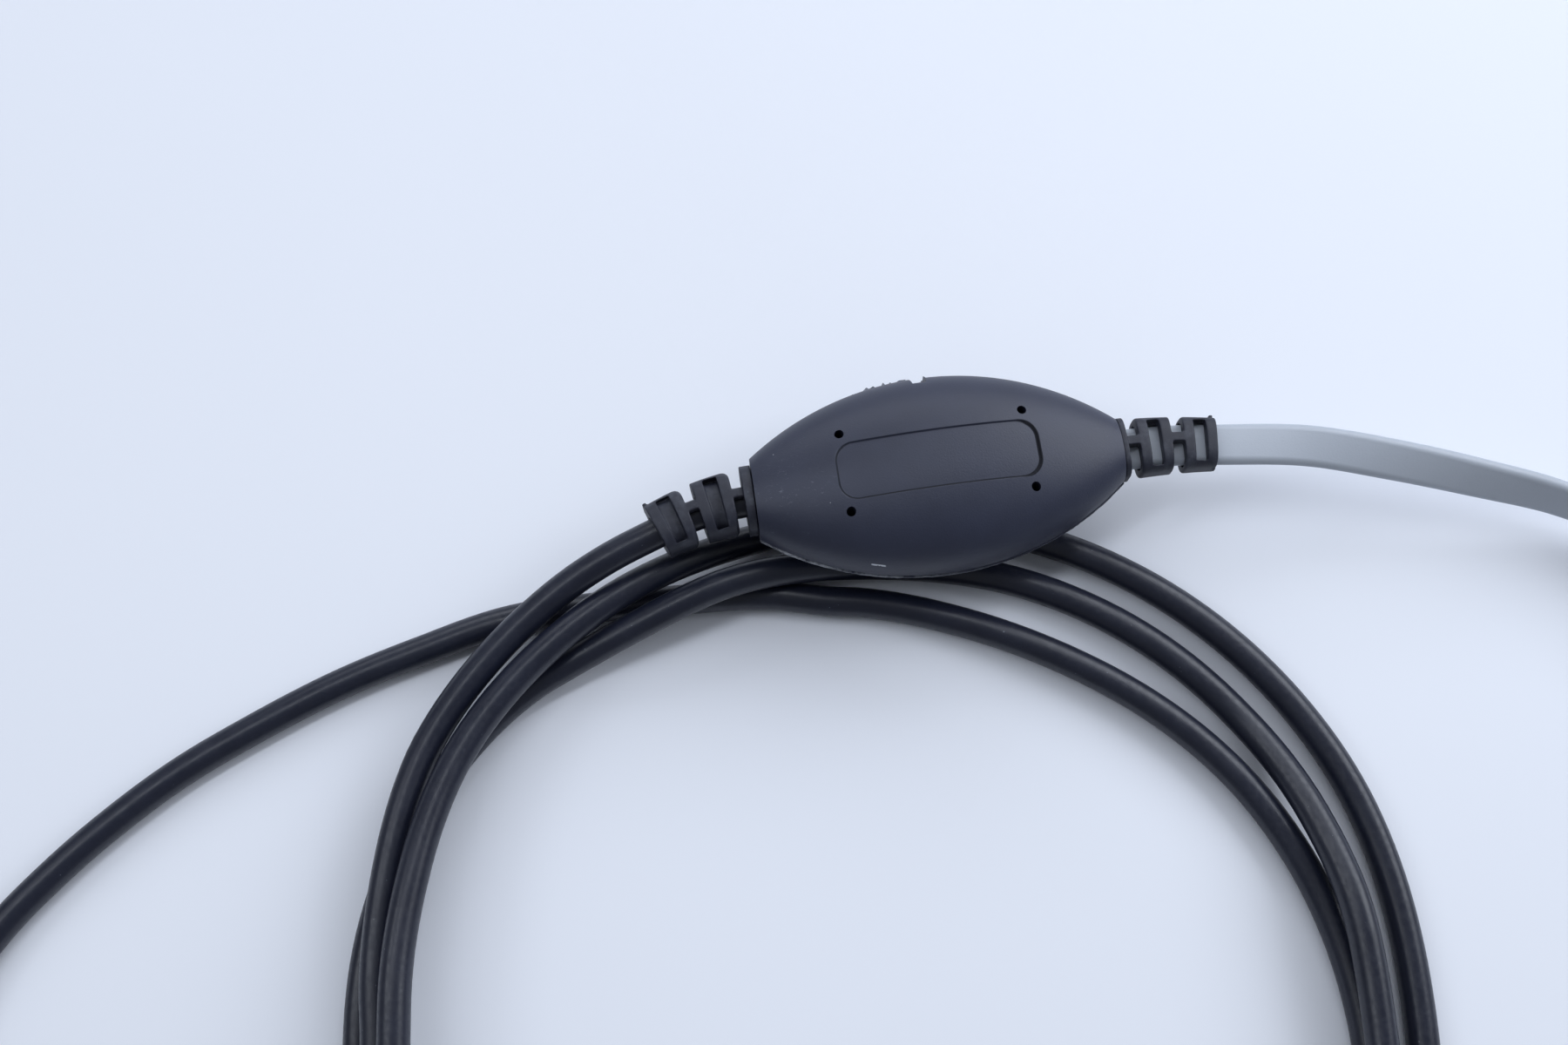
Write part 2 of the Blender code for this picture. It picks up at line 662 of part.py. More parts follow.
def make_chip():
    """The chip with its legs: each leg comes out of the body's side and turns down to the board."""
    low = BOARD_TOP + CHIP_STANDOFF
    length = (WIDEST_X - CHIP_LENGTH / 2, WIDEST_X + CHIP_LENGTH / 2)
    side = CHIP_WIDTH / 2
    chip = solid("chip", box(length, (-side, side), (low, low + CHIP_HEIGHT)))
    leg_top = low + CHIP_HEIGHT / 2
    for index in range(LEGS_PER_SIDE):
        x = WIDEST_X + LEG_PITCH * (index - (LEGS_PER_SIDE - 1) / 2)
        span = (x - LEG_WIDTH / 2, x + LEG_WIDTH / 2)
        for way in (-1, 1):
            outline = [
                (side - LEG_REACH / 2, leg_top - LEG_THICKNESS),
                (side + LEG_REACH - LEG_THICKNESS, leg_top - LEG_THICKNESS),
                (side + LEG_REACH - LEG_THICKNESS, BOARD_TOP + FINE_CLEARANCE),
                (side + LEG_REACH, BOARD_TOP + FINE_CLEARANCE),
                (side + LEG_REACH, leg_top),
                (side - LEG_REACH / 2, leg_top),
            ]
            join(chip, loft([[Vector((at, way * y, z)) for y, z in outline] for at in span]))
    finish(chip, "component_black")


def make_capacitor():
    low = BOARD_TOP + FINE_CLEARANCE
    at = WIDEST_X + CAPACITOR_OFFSET
    shape = upright(at, 0.0, low, low + CAPACITOR_HEIGHT, CAPACITOR_RADIUS)
    finish(solid("capacitor", shape), "capacitor_sleeve")


def make_resistors():
    low = BOARD_TOP + FINE_CLEARANCE
    at = WIDEST_X - RESISTOR_OFFSET
    for index in range(RESISTOR_COUNT):
        y = RESISTOR_PITCH * (index - (RESISTOR_COUNT - 1) / 2)
        span_x = (at - RESISTOR_LENGTH / 2, at + RESISTOR_LENGTH / 2)
        span_y = (y - RESISTOR_WIDTH / 2, y + RESISTOR_WIDTH / 2)
        shape = box(span_x, span_y, (low, low + RESISTOR_HEIGHT))
        finish(solid(f"resistor_{index + 1}", shape), "component_black")


def tube(name, points, radius, bevel):
    """A round cord through points, with closed ends, as a mesh."""
    curve = bpy.data.curves.new(name, "CURVE")
    curve.dimensions = "3D"
    curve.bevel_depth = radius
    curve.bevel_resolution = round(bevel)
    curve.use_fill_caps = True
    spline = curve.splines.new("POLY")
    spline.points.add(len(points) - 1)
    for place, point in zip(spline.points, points):
        place.co = (*point, 1.0)
    guide = bpy.data.objects.new(name + "_guide", curve)
    bpy.context.scene.collection.objects.link(guide)
    mesh = evaluated_mesh(guide)
    bpy.data.objects.remove(guide)
    bpy.data.curves.remove(curve)
    shape = bmesh.new()
    shape.from_mesh(mesh)
    bpy.data.meshes.remove(mesh)
    bmesh.ops.remove_doubles(shape, verts=shape.verts, dist=FINE_CLEARANCE / 100)
    return solid(name, shape)


def flatten_underside(target):
    """Cuts a cord flat where it lies on the table."""
    shape = bmesh.new()
    shape.from_mesh(target.data)
    everything = shape.verts[:] + shape.edges[:] + shape.faces[:]
    made = bmesh.ops.bisect_plane(
        shape, geom=everything, plane_co=(0, 0, FLAT_Z), plane_no=(0, 0, -1), clear_outer=True
    )
    rim = [item for item in made["geom_cut"] if isinstance(item, bmesh.types.BMEdge)]
    bmesh.ops.holes_fill(shape, edges=rim)
    bmesh.ops.recalc_face_normals(shape, faces=shape.faces)
    shape.to_mesh(target.data)
    shape.free()


def smooth_curve(points):
    """A smooth curve through points, as a dense list: a centripetal spline."""
    ends = [2 * points[0] - points[1]] + points + [2 * points[-1] - points[-2]]
    dense = []
    for corners in zip(ends, ends[1:], ends[2:], ends[3:]):
        knots = [0.0]
        for first, second in zip(corners, corners[1:]):
            knots.append(knots[-1] + math.sqrt((second - first).length))
        for step in range(CURVE_STEPS):
            at = knots[1] + (knots[2] - knots[1]) * step / CURVE_STEPS
            outer = [blend(corners, knots, at, index, 1) for index in range(3)]
            inner = [blend(outer, knots, at, index, 2) for index in range(2)]
            dense.append(inner[0].lerp(inner[1], step / CURVE_STEPS))
    dense.append(points[-1].copy())
    return dense


def blend(corners, knots, at, index, span):
    share = (at - knots[index]) / (knots[index + span] - knots[index])
    return corners[index].lerp(corners[index + 1], share)


def spaced(dense, spacing):
    """Points at an even spacing along a dense curve, with both of its ends."""
    lengths = [0.0]
    for first, second in zip(dense, dense[1:]):
        lengths.append(lengths[-1] + (second - first).length)
    count = max(2, round(lengths[-1] / spacing))
    points = []
    index = 0
    for step in range(count + 1):
        want = lengths[-1] * step / count
        while index < len(dense) - 2 and lengths[index + 1] < want:
            index += 1
        share = (want - lengths[index]) / (lengths[index + 1] - lengths[index])
        points.append(dense[index].lerp(dense[index + 1], min(share, 1.0)))
    return points


def station_value(table, at):
    """A smooth value between chosen stations: a cubic with its slope at each station from its neighbours."""
    last = len(table) - 1
    index = 0
    while index < last - 1 and table[index + 1][0] < at:
        index += 1

    def slope(place):
        before, after = table[max(place - 1, 0)], table[min(place + 1, last)]
        return (after[1] - before[1]) / (after[0] - before[0])

    (start, first), (stop, second) = table[index], table[index + 1]
    run = stop - start
    share = (at - start) / run
    rest = 1 - share
    ends = first * (1 + 2 * share) * rest**2 + second * (3 - 2 * share) * share**2
    return ends + run * share * rest * (slope(index) * rest - slope(index + 1) * share)


def coil_point(angle):
    reach = station_value(COIL_REACH, angle)
    level = station_value(COIL_LEVEL, angle)
    turn = math.radians(angle)
    x = COIL_CENTRE[0] + reach * math.cos(turn)
    y = COIL_CENTRE[1] + reach * math.sin(turn)
    return Vector((x, y, TABLE_Z + max(level, ROUND_CORD_DIAMETER / 2)))


def coil_points():
    """The coil's centreline: its ends run straight for one diameter, square to the cord that they meet."""
    first, last = COIL_REACH[0][0], COIL_REACH[-1][0]
    step = 360 / COIL_POINTS_PER_LOOP
    points = [coil_point(first + step * index) for index in range(1, math.ceil((last - first) / step))]
    start, start_way = coil_end(first, 1)
    stop, stop_way = coil_end(last, -1)
    straight = ROUND_CORD_DIAMETER + CLEARANCE / 2
    points[:0] = [start + start_way * CLEARANCE / 2, start + start_way * straight]
    if (points[-1] - stop).length < 2 * straight:
        points.pop()
    points += [stop + stop_way * straight, stop + stop_way * CLEARANCE / 2]
    return points


def coil_end(angle, way):
    """An end of the coil, and the direction from it into the coil."""
    end = coil_point(angle)
    return end, (coil_point(angle + way) - end).normalized()


def measured_gap(points):
    """The least gap between loops of a cord, measured between points along its centreline."""
    dense = []
    for first, second in zip(points, points[1:]):
        steps = max(1, round((second - first).length * GAP_SAMPLES / ROUND_CORD_DIAMETER))
        dense += [first.lerp(second, step / steps) for step in range(steps)]
    tree = KDTree(len(dense))
    for index, point in enumerate(dense):
        tree.insert(point, index)
    tree.balance()
    apart = GAP_SAMPLES * GAP_SKIPPED_DIAMETERS
    least = math.inf
    for index, point in enumerate(dense):
        for _, other, distance in tree.find_range(point, 2 * ROUND_CORD_DIAMETER):
            if abs(other - index) > apart:
                least = min(least, distance)
    return least - ROUND_CORD_DIAMETER


def over_table(points):
    return [Vector((x, y, TABLE_Z + height)) for x, y, height in points]


def relief_axis(end, inside):
    """Points along a relief's axis, from inside the pod to its outer end."""
    _, length = relief_bend(end)
    shares = [step / RELIEF_AXIS_STEPS for step in range(RELIEF_AXIS_STEPS + 1)]
    stations = [-inside, -inside / 2] + [length * share for share in shares]
    return [relief_place(end, along, 0.0, 0.0) for along in stations]


def make_round_cord():
    start, into = coil_end(COIL_REACH[0][0], 1)
    stop, back = coil_end(COIL_REACH[-1][0], -1)
    radius = ROUND_CORD_DIAMETER / 2
    straight = ROUND_CORD_DIAMETER
    lead = relief_axis(-1, ROUND_CORD_INSIDE) + over_table(LEAD_POINTS) + [start - into * straight]
    lead = spaced(smooth_curve(lead), ROUTE_SPACING / 2) + [start - into * CLEARANCE / 2]
    finish(tube("round_cord_lead", lead, radius, CORD_BEVEL), "round_cord_jacket")

    loops = coil_points()
    gap = measured_gap(loops)
    print(f"least gap between the coil's loops: {gap * 1000:.2f} mm")
    print(f"to be over: {LEAST_COIL_GAP * 1000:.2f} mm")
    coil = tube("round_cord_coil", loops, radius, COIL_BEVEL)
    flatten_underside(coil)
    finish(coil, "round_cord_jacket")

    rear = Vector((*ROUND_PLUG_REAR, FLAT_Z + ROUND_PLUG_LIFT + GRIP_RADIUS))
    inside = Vector((0, -(ROUND_PLUG_LENGTH - SHROUD_DEPTH - INSULATOR_LENGTH - WIRED_LENGTH), 0))
    tail = [stop - back * straight] + over_table(TAIL_POINTS) + [rear, rear + inside / 2, rear + inside]
    tail = [stop - back * CLEARANCE / 2] + spaced(smooth_curve(tail), ROUTE_SPACING)
    tail = tube("round_cord_tail", tail, radius, CORD_BEVEL)
    flatten_underside(tail)
    finish(tail, "round_cord_jacket")


def make_flat_cord():
    """The flat cord, swept along its route while it turns from lying flat to standing on edge."""
    rear = Vector((*MODULAR_REAR, FLAT_Z + MODULAR_LIFT + MODULAR_WIDTH / 2))
    inside = Vector((0, -(MODULAR_CAVITY - CLEARANCE), 0))
    route = relief_axis(1, FLAT_CORD_INSIDE) + over_table(FLAT_POINTS)
    points = spaced(smooth_curve(route + [rear, rear + inside]), FLAT_ROUTE_SPACING)
    bend_starts = FLAT_CORD_INSIDE + relief_bend(1)[1]
    rings = []
    length = -bend_starts
    for index, point in enumerate(points):
        before, after = points[max(index - 1, 0)], points[min(index + 1, len(points) - 1)]
        length += (point - before).length
        way = (after - before).normalized()
        level = Vector((0, 0, 1)).cross(way).normalized()
        place = min(max(length, FLAT_TWIST[0][0]), FLAT_TWIST[-1][0])
        turn = Matrix.Rotation(math.radians(station_value(FLAT_TWIST, place)), 3, way)
        across, up = turn @ level, turn @ way.cross(level)
        rings.append([point + across * x + up * y for x, y in flat_cord_section()])
    finish(solid("flat_cord", loft(rings)), "flat_cord_jacket")


def make_grips():
    """The crimp on the round cord and the clamp on the flat one, just inside the collars."""
    inner = END_WALL + CLEARANCE + COLLAR_LENGTH + CLEARANCE
    start = -POD_LENGTH / 2 + inner
    bore = ROUND_CORD_DIAMETER / 2 + CLEARANCE
    profile = [(start, bore), (start, bore + CRIMP_WALL)]
    profile += [(start + CRIMP_LENGTH, bore + CRIMP_WALL), (start + CRIMP_LENGTH, bore)]
    finish(solid("round_cord_crimp", turned(profile, HOLE_SIDES)), "plug_steel")
    stop = POD_LENGTH / 2 - inner
    rings = []
    for x, grow in ((0, 0), (0, CLAMP_WALL), (-CLAMP_LENGTH, CLAMP_WALL), (-CLAMP_LENGTH, 0)):
        section = flat_cord_section(CLEARANCE + grow)
        rings.append([Vector((stop + x, y, z)) for y, z in section])
    finish(solid("flat_cord_clamp", loft(rings, closed=True)), "plug_steel")


def make_board_wires():
    """The wires from each cord's end, over the board's edge and down to a row of pads."""
    rise = BOARD_TOP + CLEARANCE + WIRE_RADIUS
    for index in range(WIRE_COUNT):
        place = index - (WIRE_COUNT - 1) / 2
        start = Vector((-POD_LENGTH / 2 + ROUND_CORD_INSIDE + CLEARANCE, place * ROUND_WIRE_PITCH, rise))
        pad = Vector((WIDEST_X - PAD_OFFSET, place * ROUND_PAD_PITCH, rise))
        make_wire(f"round_cord_wire_{index + 1}", start, pad)
        start = Vector((POD_LENGTH / 2 - FLAT_CORD_INSIDE - CLEARANCE, place * FLAT_WIRE_PITCH, rise))
        pad = Vector((WIDEST_X + PAD_OFFSET, place * FLAT_PAD_PITCH, rise))
        make_wire(f"flat_cord_wire_{index + 1}", start, pad)


def make_wire(name, start, pad):
    arch = pad.lerp(start, WIRE_ARCH_PLACE)
    arch.z = pad.z + WIRE_ARCH
    points = spaced(smooth_curve([start, arch, pad]), WIRE_SPACING)
    finish(tube(name, points, WIRE_RADIUS, COIL_BEVEL), "wire_insulation")


def plug_place(name, rear, length, height):
    """An empty at a plug's nose: its X is the way the plug goes in, its Y is up and its Z faces the coil."""
    place = bpy.data.objects.new(name, None)
    bpy.context.scene.collection.objects.link(place)
    turn = Matrix(((0, 0, -1), (-1, 0, 0), (0, 1, 0))).to_4x4()
    place.matrix_world = Matrix.Translation((rear[0], rear[1] - length, height)) @ turn
    return place


def make_modular_plug():
    place = plug_place(
        "modular_plug_place", MODULAR_REAR, MODULAR_LENGTH, FLAT_Z + MODULAR_LIFT + MODULAR_WIDTH / 2
    )
    side, top = MODULAR_WIDTH / 2, MODULAR_HEIGHT / 2
    body = solid("modular_plug_body", box((-MODULAR_LENGTH, 0), (-side, side), (-top, top)))
    lip = LATCH_WIDTH / 2
    join(body, box((-LIP_LENGTH, 0), (-lip, lip), (-top - LIP_DEPTH, -top + LIP_DEPTH)))
    cavity = flat_cord_section(CLEARANCE)
    ends = (-MODULAR_LENGTH - WALL, -MODULAR_LENGTH + MODULAR_CAVITY)
    cut(body, loft([[Vector((x, y, z)) for y, z in cavity] for x in ends]))

    bar_x = -MODULAR_LENGTH + CLAMP_BAR_SETBACK
    bar_y = CLAMP_BAR_WIDTH / 2
    bar_z = FLAT_CORD_THICKNESS / 2 + CLEARANCE
    window = (bar_x - CLEARANCE, bar_x + CLAMP_BAR_LENGTH + CLEARANCE)
    cut(body, box(window, (-bar_y - CLEARANCE, bar_y + CLEARANCE), (0, top + WALL)))
    bar = box((bar_x, bar_x + CLAMP_BAR_LENGTH), (-bar_y, bar_y), (bar_z, top - CLEARANCE))
    finish(solid("modular_plug_clamp_bar", bar), "clear_plastic", place)

    front, half = -CONTACT_SETBACK, CONTACT_THICKNESS / 2
    high = top - CONTACT_SINK
    low = high - CONTACT_HEIGHT
    for index in range(CONTACT_COUNT):
        y = CONTACT_PITCH * (index - (CONTACT_COUNT - 1) / 2)
        slot_y = (y - half - FINE_CLEARANCE, y + half + FINE_CLEARANCE)
        slot_x = (front - CONTACT_LENGTH - FINE_CLEARANCE, front + FINE_CLEARANCE)
        cut(body, box(slot_x, slot_y, (low - FINE_CLEARANCE, top + WALL)))
        blade = box((front - CONTACT_LENGTH, front), (y - half, y + half), (low, high))
        finish(solid(f"modular_plug_contact_{index + 1}", blade), "contact_gold", place)
    finish(body, "clear_plastic", place)

    root, tongue = LATCH_WIDTH / 2, LATCH_TONGUE_WIDTH / 2
    thick = LATCH_THICKNESS / 2
    outline = [(thick, -root), (thick, root), (-LATCH_SHOULDER, root), (-LATCH_SHOULDER, tongue)]
    outline += [(-LATCH_LENGTH, tongue), (-LATCH_LENGTH, -tongue)]
    outline += [(-LATCH_SHOULDER, -tongue), (-LATCH_SHOULDER, -root)]
    latch = finish(solid("modular_plug_latch", prism(outline, -thick, thick)), "clear_plastic", place)
    latch.location = (-LIP_LENGTH - CLEARANCE - thick, 0, -top - CLEARANCE - thick)
    latch.rotation_euler = (0, -math.radians(LATCH_SLOPE_DEG), 0)


def make_round_plug():
    place = plug_place(
        "round_plug_place", ROUND_PLUG_REAR, ROUND_PLUG_LENGTH, FLAT_Z + ROUND_PLUG_LIFT + GRIP_RADIUS
    )
    make_barrel(place)
    make_boot(place)
    make_locking_ring(place)
    make_plug_inside(place)


def clip_start():
    """Where the clip that keeps the locking ring on starts, just in front of the ring's lip."""
    return -SLEEVE_LENGTH + CLEARANCE + RING_LIP + CLEARANCE


def make_barrel(place):
    rear = -SLEEVE_LENGTH - GRIP_LENGTH
    groove = SLEEVE_RADIUS - CLIP_GROOVE
    groove_start = clip_start() - FINE_CLEARANCE
    groove_stop = clip_start() + CLIP_LENGTH + FINE_CLEARANCE
    profile = [
        (0, SLEEVE_BORE), (0, SLEEVE_RADIUS), (groove_stop, SLEEVE_RADIUS), (groove_stop, groove),
        (groove_start, groove), (groove_start, SLEEVE_RADIUS), (-SLEEVE_LENGTH, SLEEVE_RADIUS),
        (-SLEEVE_LENGTH, GRIP_RADIUS), (rear, GRIP_RADIUS), (rear, SLEEVE_BORE),
    ]
    finish(solid("round_plug_barrel", turned(profile)), "plug_steel", place)


def make_boot(place):
    front = -SLEEVE_LENGTH - GRIP_LENGTH - CLEARANCE
    rear = front - BOOT_LENGTH
    bore = ROUND_CORD_DIAMETER / 2 + CLEARANCE
    spigot = SLEEVE_BORE - CLEARANCE
    profile = [(rear, bore), (rear, BOOT_REAR_RADIUS)]
    pitch = BOOT_LENGTH / (BOOT_GROOVES + 1)
    for index in range(BOOT_GROOVES):
        middle = rear + pitch * (index + 1)
        for x, depth in ((-pitch / 4, 0), (-pitch / 8, 1), (pitch / 8, 1), (pitch / 4, 0)):
            share = (middle + x - rear) / BOOT_LENGTH
            radius = BOOT_REAR_RADIUS + (BOOT_FRONT_RADIUS - BOOT_REAR_RADIUS) * share
            profile.append((middle + x, radius - depth * BOOT_GROOVE_DEPTH))
    profile += [(front, BOOT_FRONT_RADIUS), (front, spigot)]
    profile += [(front + BOOT_SPIGOT, spigot), (front + BOOT_SPIGOT, bore)]
    finish(solid("round_plug_boot", turned(profile)), "relief_rubber", place)


def make_locking_ring(place):
    """The locking ring turns on the sleeve, between the grip and the clip."""
    start = -SLEEVE_LENGTH + CLEARANCE
    lip = SLEEVE_RADIUS + CLEARANCE
    sides = 2 * RING_RIBS
    rings = []
    for x in (start, start + RING_LENGTH):
        ring = []
        for step in range(sides):
            radius = RING_RADIUS - RING_RIB_DEPTH * (step % 2)
            ring.append(arc_point(radius, math.tau * step / sides, x))
        rings.append(ring)
    thread = RING_THREAD_RADIUS
    for x, radius in ((RING_LENGTH, thread), (RING_LIP, thread), (RING_LIP, lip), (0, lip)):
        rings.append(circle(start + x, radius, sides))
    finish(solid("round_plug_ring", loft(rings, closed=True)), "plug_steel", place)
    start = clip_start()
    inner = SLEEVE_RADIUS - CLIP_GROOVE + FINE_CLEARANCE
    outer = SLEEVE_RADIUS + CLIP_REACH
    profile = [(start, inner), (start, outer), (start + CLIP_LENGTH, outer), (start + CLIP_LENGTH, inner)]
    finish(solid("round_plug_clip", turned(profile)), "plug_steel", place)


def make_plug_inside(place):
    """The insulator with its pins, and the wires from the cord's end to them."""
    front = -SHROUD_DEPTH
    rear = front - INSULATOR_LENGTH
    insulator = solid("round_plug_insulator", rod(rear, front, SLEEVE_BORE - FINE_CLEARANCE))
    for index in range(PLUG_PIN_COUNT):
        turn = math.tau * (index + 0.5) / PLUG_PIN_COUNT
        pin = rod(-PLUG_PIN_SETBACK - PLUG_PIN_LENGTH, -PLUG_PIN_SETBACK, PLUG_PIN_RADIUS, HOLE_SIDES)
        hole = rod(rear - WALL, front + WALL, PLUG_PIN_RADIUS + FINE_CLEARANCE, HOLE_SIDES)
        offset = arc_point(PLUG_PIN_CIRCLE, turn)
        for shape in (pin, hole):
            bmesh.ops.translate(shape, vec=offset, verts=shape.verts)
        finish(solid(f"round_plug_pin_{index + 1}", pin), "contact_gold", place)
        cut(insulator, hole)
        start = arc_point(ROUND_WIRE_PITCH, turn, rear - WIRED_LENGTH + CLEARANCE)
        stop = arc_point(PLUG_PIN_CIRCLE, turn, -PLUG_PIN_SETBACK - PLUG_PIN_LENGTH - CLEARANCE)
        wire = tube(f"round_plug_wire_{index + 1}", [start, stop], WIRE_RADIUS, COIL_BEVEL)
        finish(wire, "wire_insulation", place)
    finish(insulator, "insulator_plastic", place)


def main():
    for leftover in list(bpy.data.objects):
        bpy.data.objects.remove(leftover)
    make_upper_shell()
    make_lower_shell()
    make_board()
    make_chip()
    make_capacitor()
    make_resistors()
    make_reliefs()
    make_grips()
    make_board_wires()
    make_round_cord()
    make_flat_cord()
    make_modular_plug()
    make_round_plug()


main()
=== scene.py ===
"""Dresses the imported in-line cable pod: its shells, cords, strain reliefs and plugs, on a pale table.

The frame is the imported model, in metres: +X along the pod towards the flat cord, +Y to the back, +Z up.
"""

import math

import bmesh
import bpy
from mathutils import Matrix, Vector, noise


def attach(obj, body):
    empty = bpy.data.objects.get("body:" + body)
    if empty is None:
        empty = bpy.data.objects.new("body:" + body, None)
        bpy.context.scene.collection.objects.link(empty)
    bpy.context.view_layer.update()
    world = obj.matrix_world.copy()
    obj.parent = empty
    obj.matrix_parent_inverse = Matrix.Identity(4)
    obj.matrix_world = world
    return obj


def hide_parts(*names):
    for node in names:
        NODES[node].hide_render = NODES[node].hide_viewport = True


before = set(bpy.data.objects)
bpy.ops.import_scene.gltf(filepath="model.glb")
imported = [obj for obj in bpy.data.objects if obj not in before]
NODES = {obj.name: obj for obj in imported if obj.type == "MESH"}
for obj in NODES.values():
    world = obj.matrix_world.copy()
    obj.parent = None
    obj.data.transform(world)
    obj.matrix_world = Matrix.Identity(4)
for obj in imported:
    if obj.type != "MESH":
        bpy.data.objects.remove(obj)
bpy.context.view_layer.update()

bl_info = {
    "name": "Cable Pod",
    "version": (1, 0, 0),
    "blender": (4, 5, 0),
    "location": "3D View > Sidebar > Cable Pod",
    "description": "Builds the detailed pieces of an in-line cable pod over its packed frame",
    "category": "Object",
}

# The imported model's bodies.
POD, LATCH, RING = "pod", "latch", "locking_ring"

# Gaps between pieces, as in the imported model.
CLEARANCE = 0.0003
FINE_CLEARANCE = 0.0001

# How far a cutter reaches past what it cuts: a little, or right out of the piece.
CUT_MARGIN = 0.0012
CUT_REACH = 0.02

# The pod's section is a superellipse of this power.
SECTION_POWER = 2.3

# The upper shell's mesh: straight rows along its crown and stations along the pod, with closer ones
# beside the panel's edges, and steps down its flanks.
CROWN_HALF_WIDTH = 0.0050
CROWN_ROW = 0.00028
CROWN_ROWS = 15
EDGE_MARGIN = 0.0004
EDGE_ROW = 0.00007
EDGE_ROWS = 12
POD_STATIONS = 132
END_MARGIN = 0.0003
END_STATION = 0.00011
END_STATIONS = 34
FLANK_STEPS = 26
PANEL_STEP = 0.00026

# The other meshes: stations along the pod with steps round its section, and the sides of other sections.
LOWER_MESH = (120, 72)
HOLLOW_MESH = (48, 32)
ROUND_SIDES = 48
RELIEF_SIDES = 64
TURNED_SIDES = 96
FLAT_EDGE_STEPS = 12
BORE_EDGE_STEPS = 16

# Inside the shells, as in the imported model: bosses, the board's shoulders and the posts of the pins.
BOSS_RADIUS = 0.0020
SHOULDER_RADIUS = 0.0019
POST_RADIUS = 0.0008
POST_HEIGHT = 0.0026
POST_ROOT = 0.0008
BOARD_THICKNESS = 0.0012

# On the board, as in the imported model: places from its middle, and the domes of solder.
CAPACITOR_OFFSET = 0.0080
CAPACITOR_HEIGHT = 0.0046
RESISTOR_OFFSET = 0.0086
RESISTOR_BODY = 0.0022
RESISTOR_COUNT = 3
PAD_OFFSET = 0.0140
PAD_PITCH = 0.0020
LEG_PITCH = 0.00254
LEG_ROW = 0.0041
SOLDER_RADIUS = 0.00075
SOLDER_FLATNESS = 0.42
WIRE_COUNT = 4

# The colours of the wires, of tinned metal and of the round plug's insulator.
WIRE_COLOURS = ((0.42, 0.045, 0.035), (0.030, 0.030, 0.034), (0.05, 0.26, 0.07), (0.60, 0.42, 0.05))
TIN = (0.62, 0.63, 0.64)
INSULATOR_BLACK = (0.035, 0.035, 0.040)

# The round cord's loops: reach from the coil's middle and height over the table, by angle in degrees.
COIL_CENTRE = (-0.0185, -0.0880)
COIL_REACH = (
    (125, 0.0900), (134, 0.0893), (141, 0.0883), (148, 0.0862), (155, 0.0840), (163, 0.0819),
    (172, 0.0799), (200, 0.0798), (240, 0.0812), (300, 0.0808), (354, 0.0794), (385, 0.0832),
    (420, 0.0854), (450, 0.0856), (467, 0.0850), (481, 0.0844), (490, 0.0840), (498, 0.0832),
    (505, 0.0818), (513, 0.0798), (522, 0.0780), (531, 0.0765), (560, 0.0749), (600, 0.0740),
    (640, 0.0734), (714, 0.0710), (735, 0.0734), (755, 0.0759), (785, 0.0775), (803, 0.0777),
    (819, 0.0784), (832, 0.0788), (841, 0.0805), (848, 0.0828), (856, 0.0844), (868, 0.0854),
    (880, 0.0852), (893, 0.0839), (930, 0.0810), (990, 0.0766), (1074, 0.0709), (1105, 0.0692),
    (1134, 0.0676), (1152, 0.0688), (1171, 0.0726),
)
COIL_LEVEL = (
    (125, 0.0093), (140, 0.0086), (165, 0.0083), (235, 0.0083), (262, 0.0071), (288, 0.0042),
    (310, 0.0025), (448, 0.0025), (456, 0.0030), (463, 0.0050), (470, 0.0075), (477, 0.0090),
    (490, 0.0096), (503, 0.0108), (515, 0.0121), (530, 0.0128), (550, 0.0121), (600, 0.0087),
    (630, 0.0084), (727, 0.0084), (742, 0.0058), (757, 0.0025), (795, 0.0025), (804, 0.0033),
    (812, 0.0054), (819, 0.0077), (825, 0.0087), (831, 0.0077), (837, 0.0060), (843, 0.0042),
    (850, 0.0030), (858, 0.0025), (1171, 0.0025),
)
# The height of the round cord's centreline where it lies on the table.
CORD_ON_TABLE = 0.0025
# The free stretches of the cords, as points over the table: x, y and the height of the centreline.
LEAD_POINTS = ((-0.0539, -0.0056, 0.0126), (-0.0618, -0.0090, 0.0107))
TAIL_POINTS = (
    (-0.0300, -0.0129, 0.0025), (-0.0469, -0.0116, 0.0025), (-0.0714, -0.0111, 0.0025),
    (-0.0872, -0.0143, 0.0025), (-0.1005, -0.0179, 0.0025), (-0.1140, -0.0229, 0.0025),
    (-0.1275, -0.0289, 0.0025), (-0.1397, -0.0362, 0.0025), (-0.1485, -0.0426, 0.0025),
    (-0.1562, -0.0494, 0.0027), (-0.1626, -0.0576, 0.0033), (-0.1672, -0.0680, 0.0047),
    (-0.1695, -0.0800, 0.0065), (-0.1700, -0.0920, 0.0078),
)
FLAT_POINTS = (
    (0.0609, -0.0029, 0.0124), (0.0748, -0.0068, 0.0110), (0.0888, -0.0114, 0.0092),
    (0.1024, -0.0166, 0.0076), (0.1118, -0.0225, 0.0065), (0.1186, -0.0310, 0.0058),
    (0.1220, -0.0420, 0.0055), (0.1230, -0.0540, 0.0055),
)
# How the flat cord turns from lying flat to standing on edge: its length from the relief, and degrees.
FLAT_TWIST = (
    (0.000, 0.0), (0.015, 10.0), (0.030, 25.0), (0.045, 43.0), (0.060, 62.0), (0.072, 78.0),
    (0.083, 88.0), (0.095, 90.0), (0.110, 90.0),
)
# How closely the cords' routes are followed.
CURVE_STEPS = 24
RELIEF_AXIS_STEPS = 4
COIL_STEP_DEG = 4.0
CORD_SPACING = 0.0022
FLAT_CORD_SPACING = 0.0012
# The round cord's radius varies by this share.
CORD_UNEVENNESS = 0.006

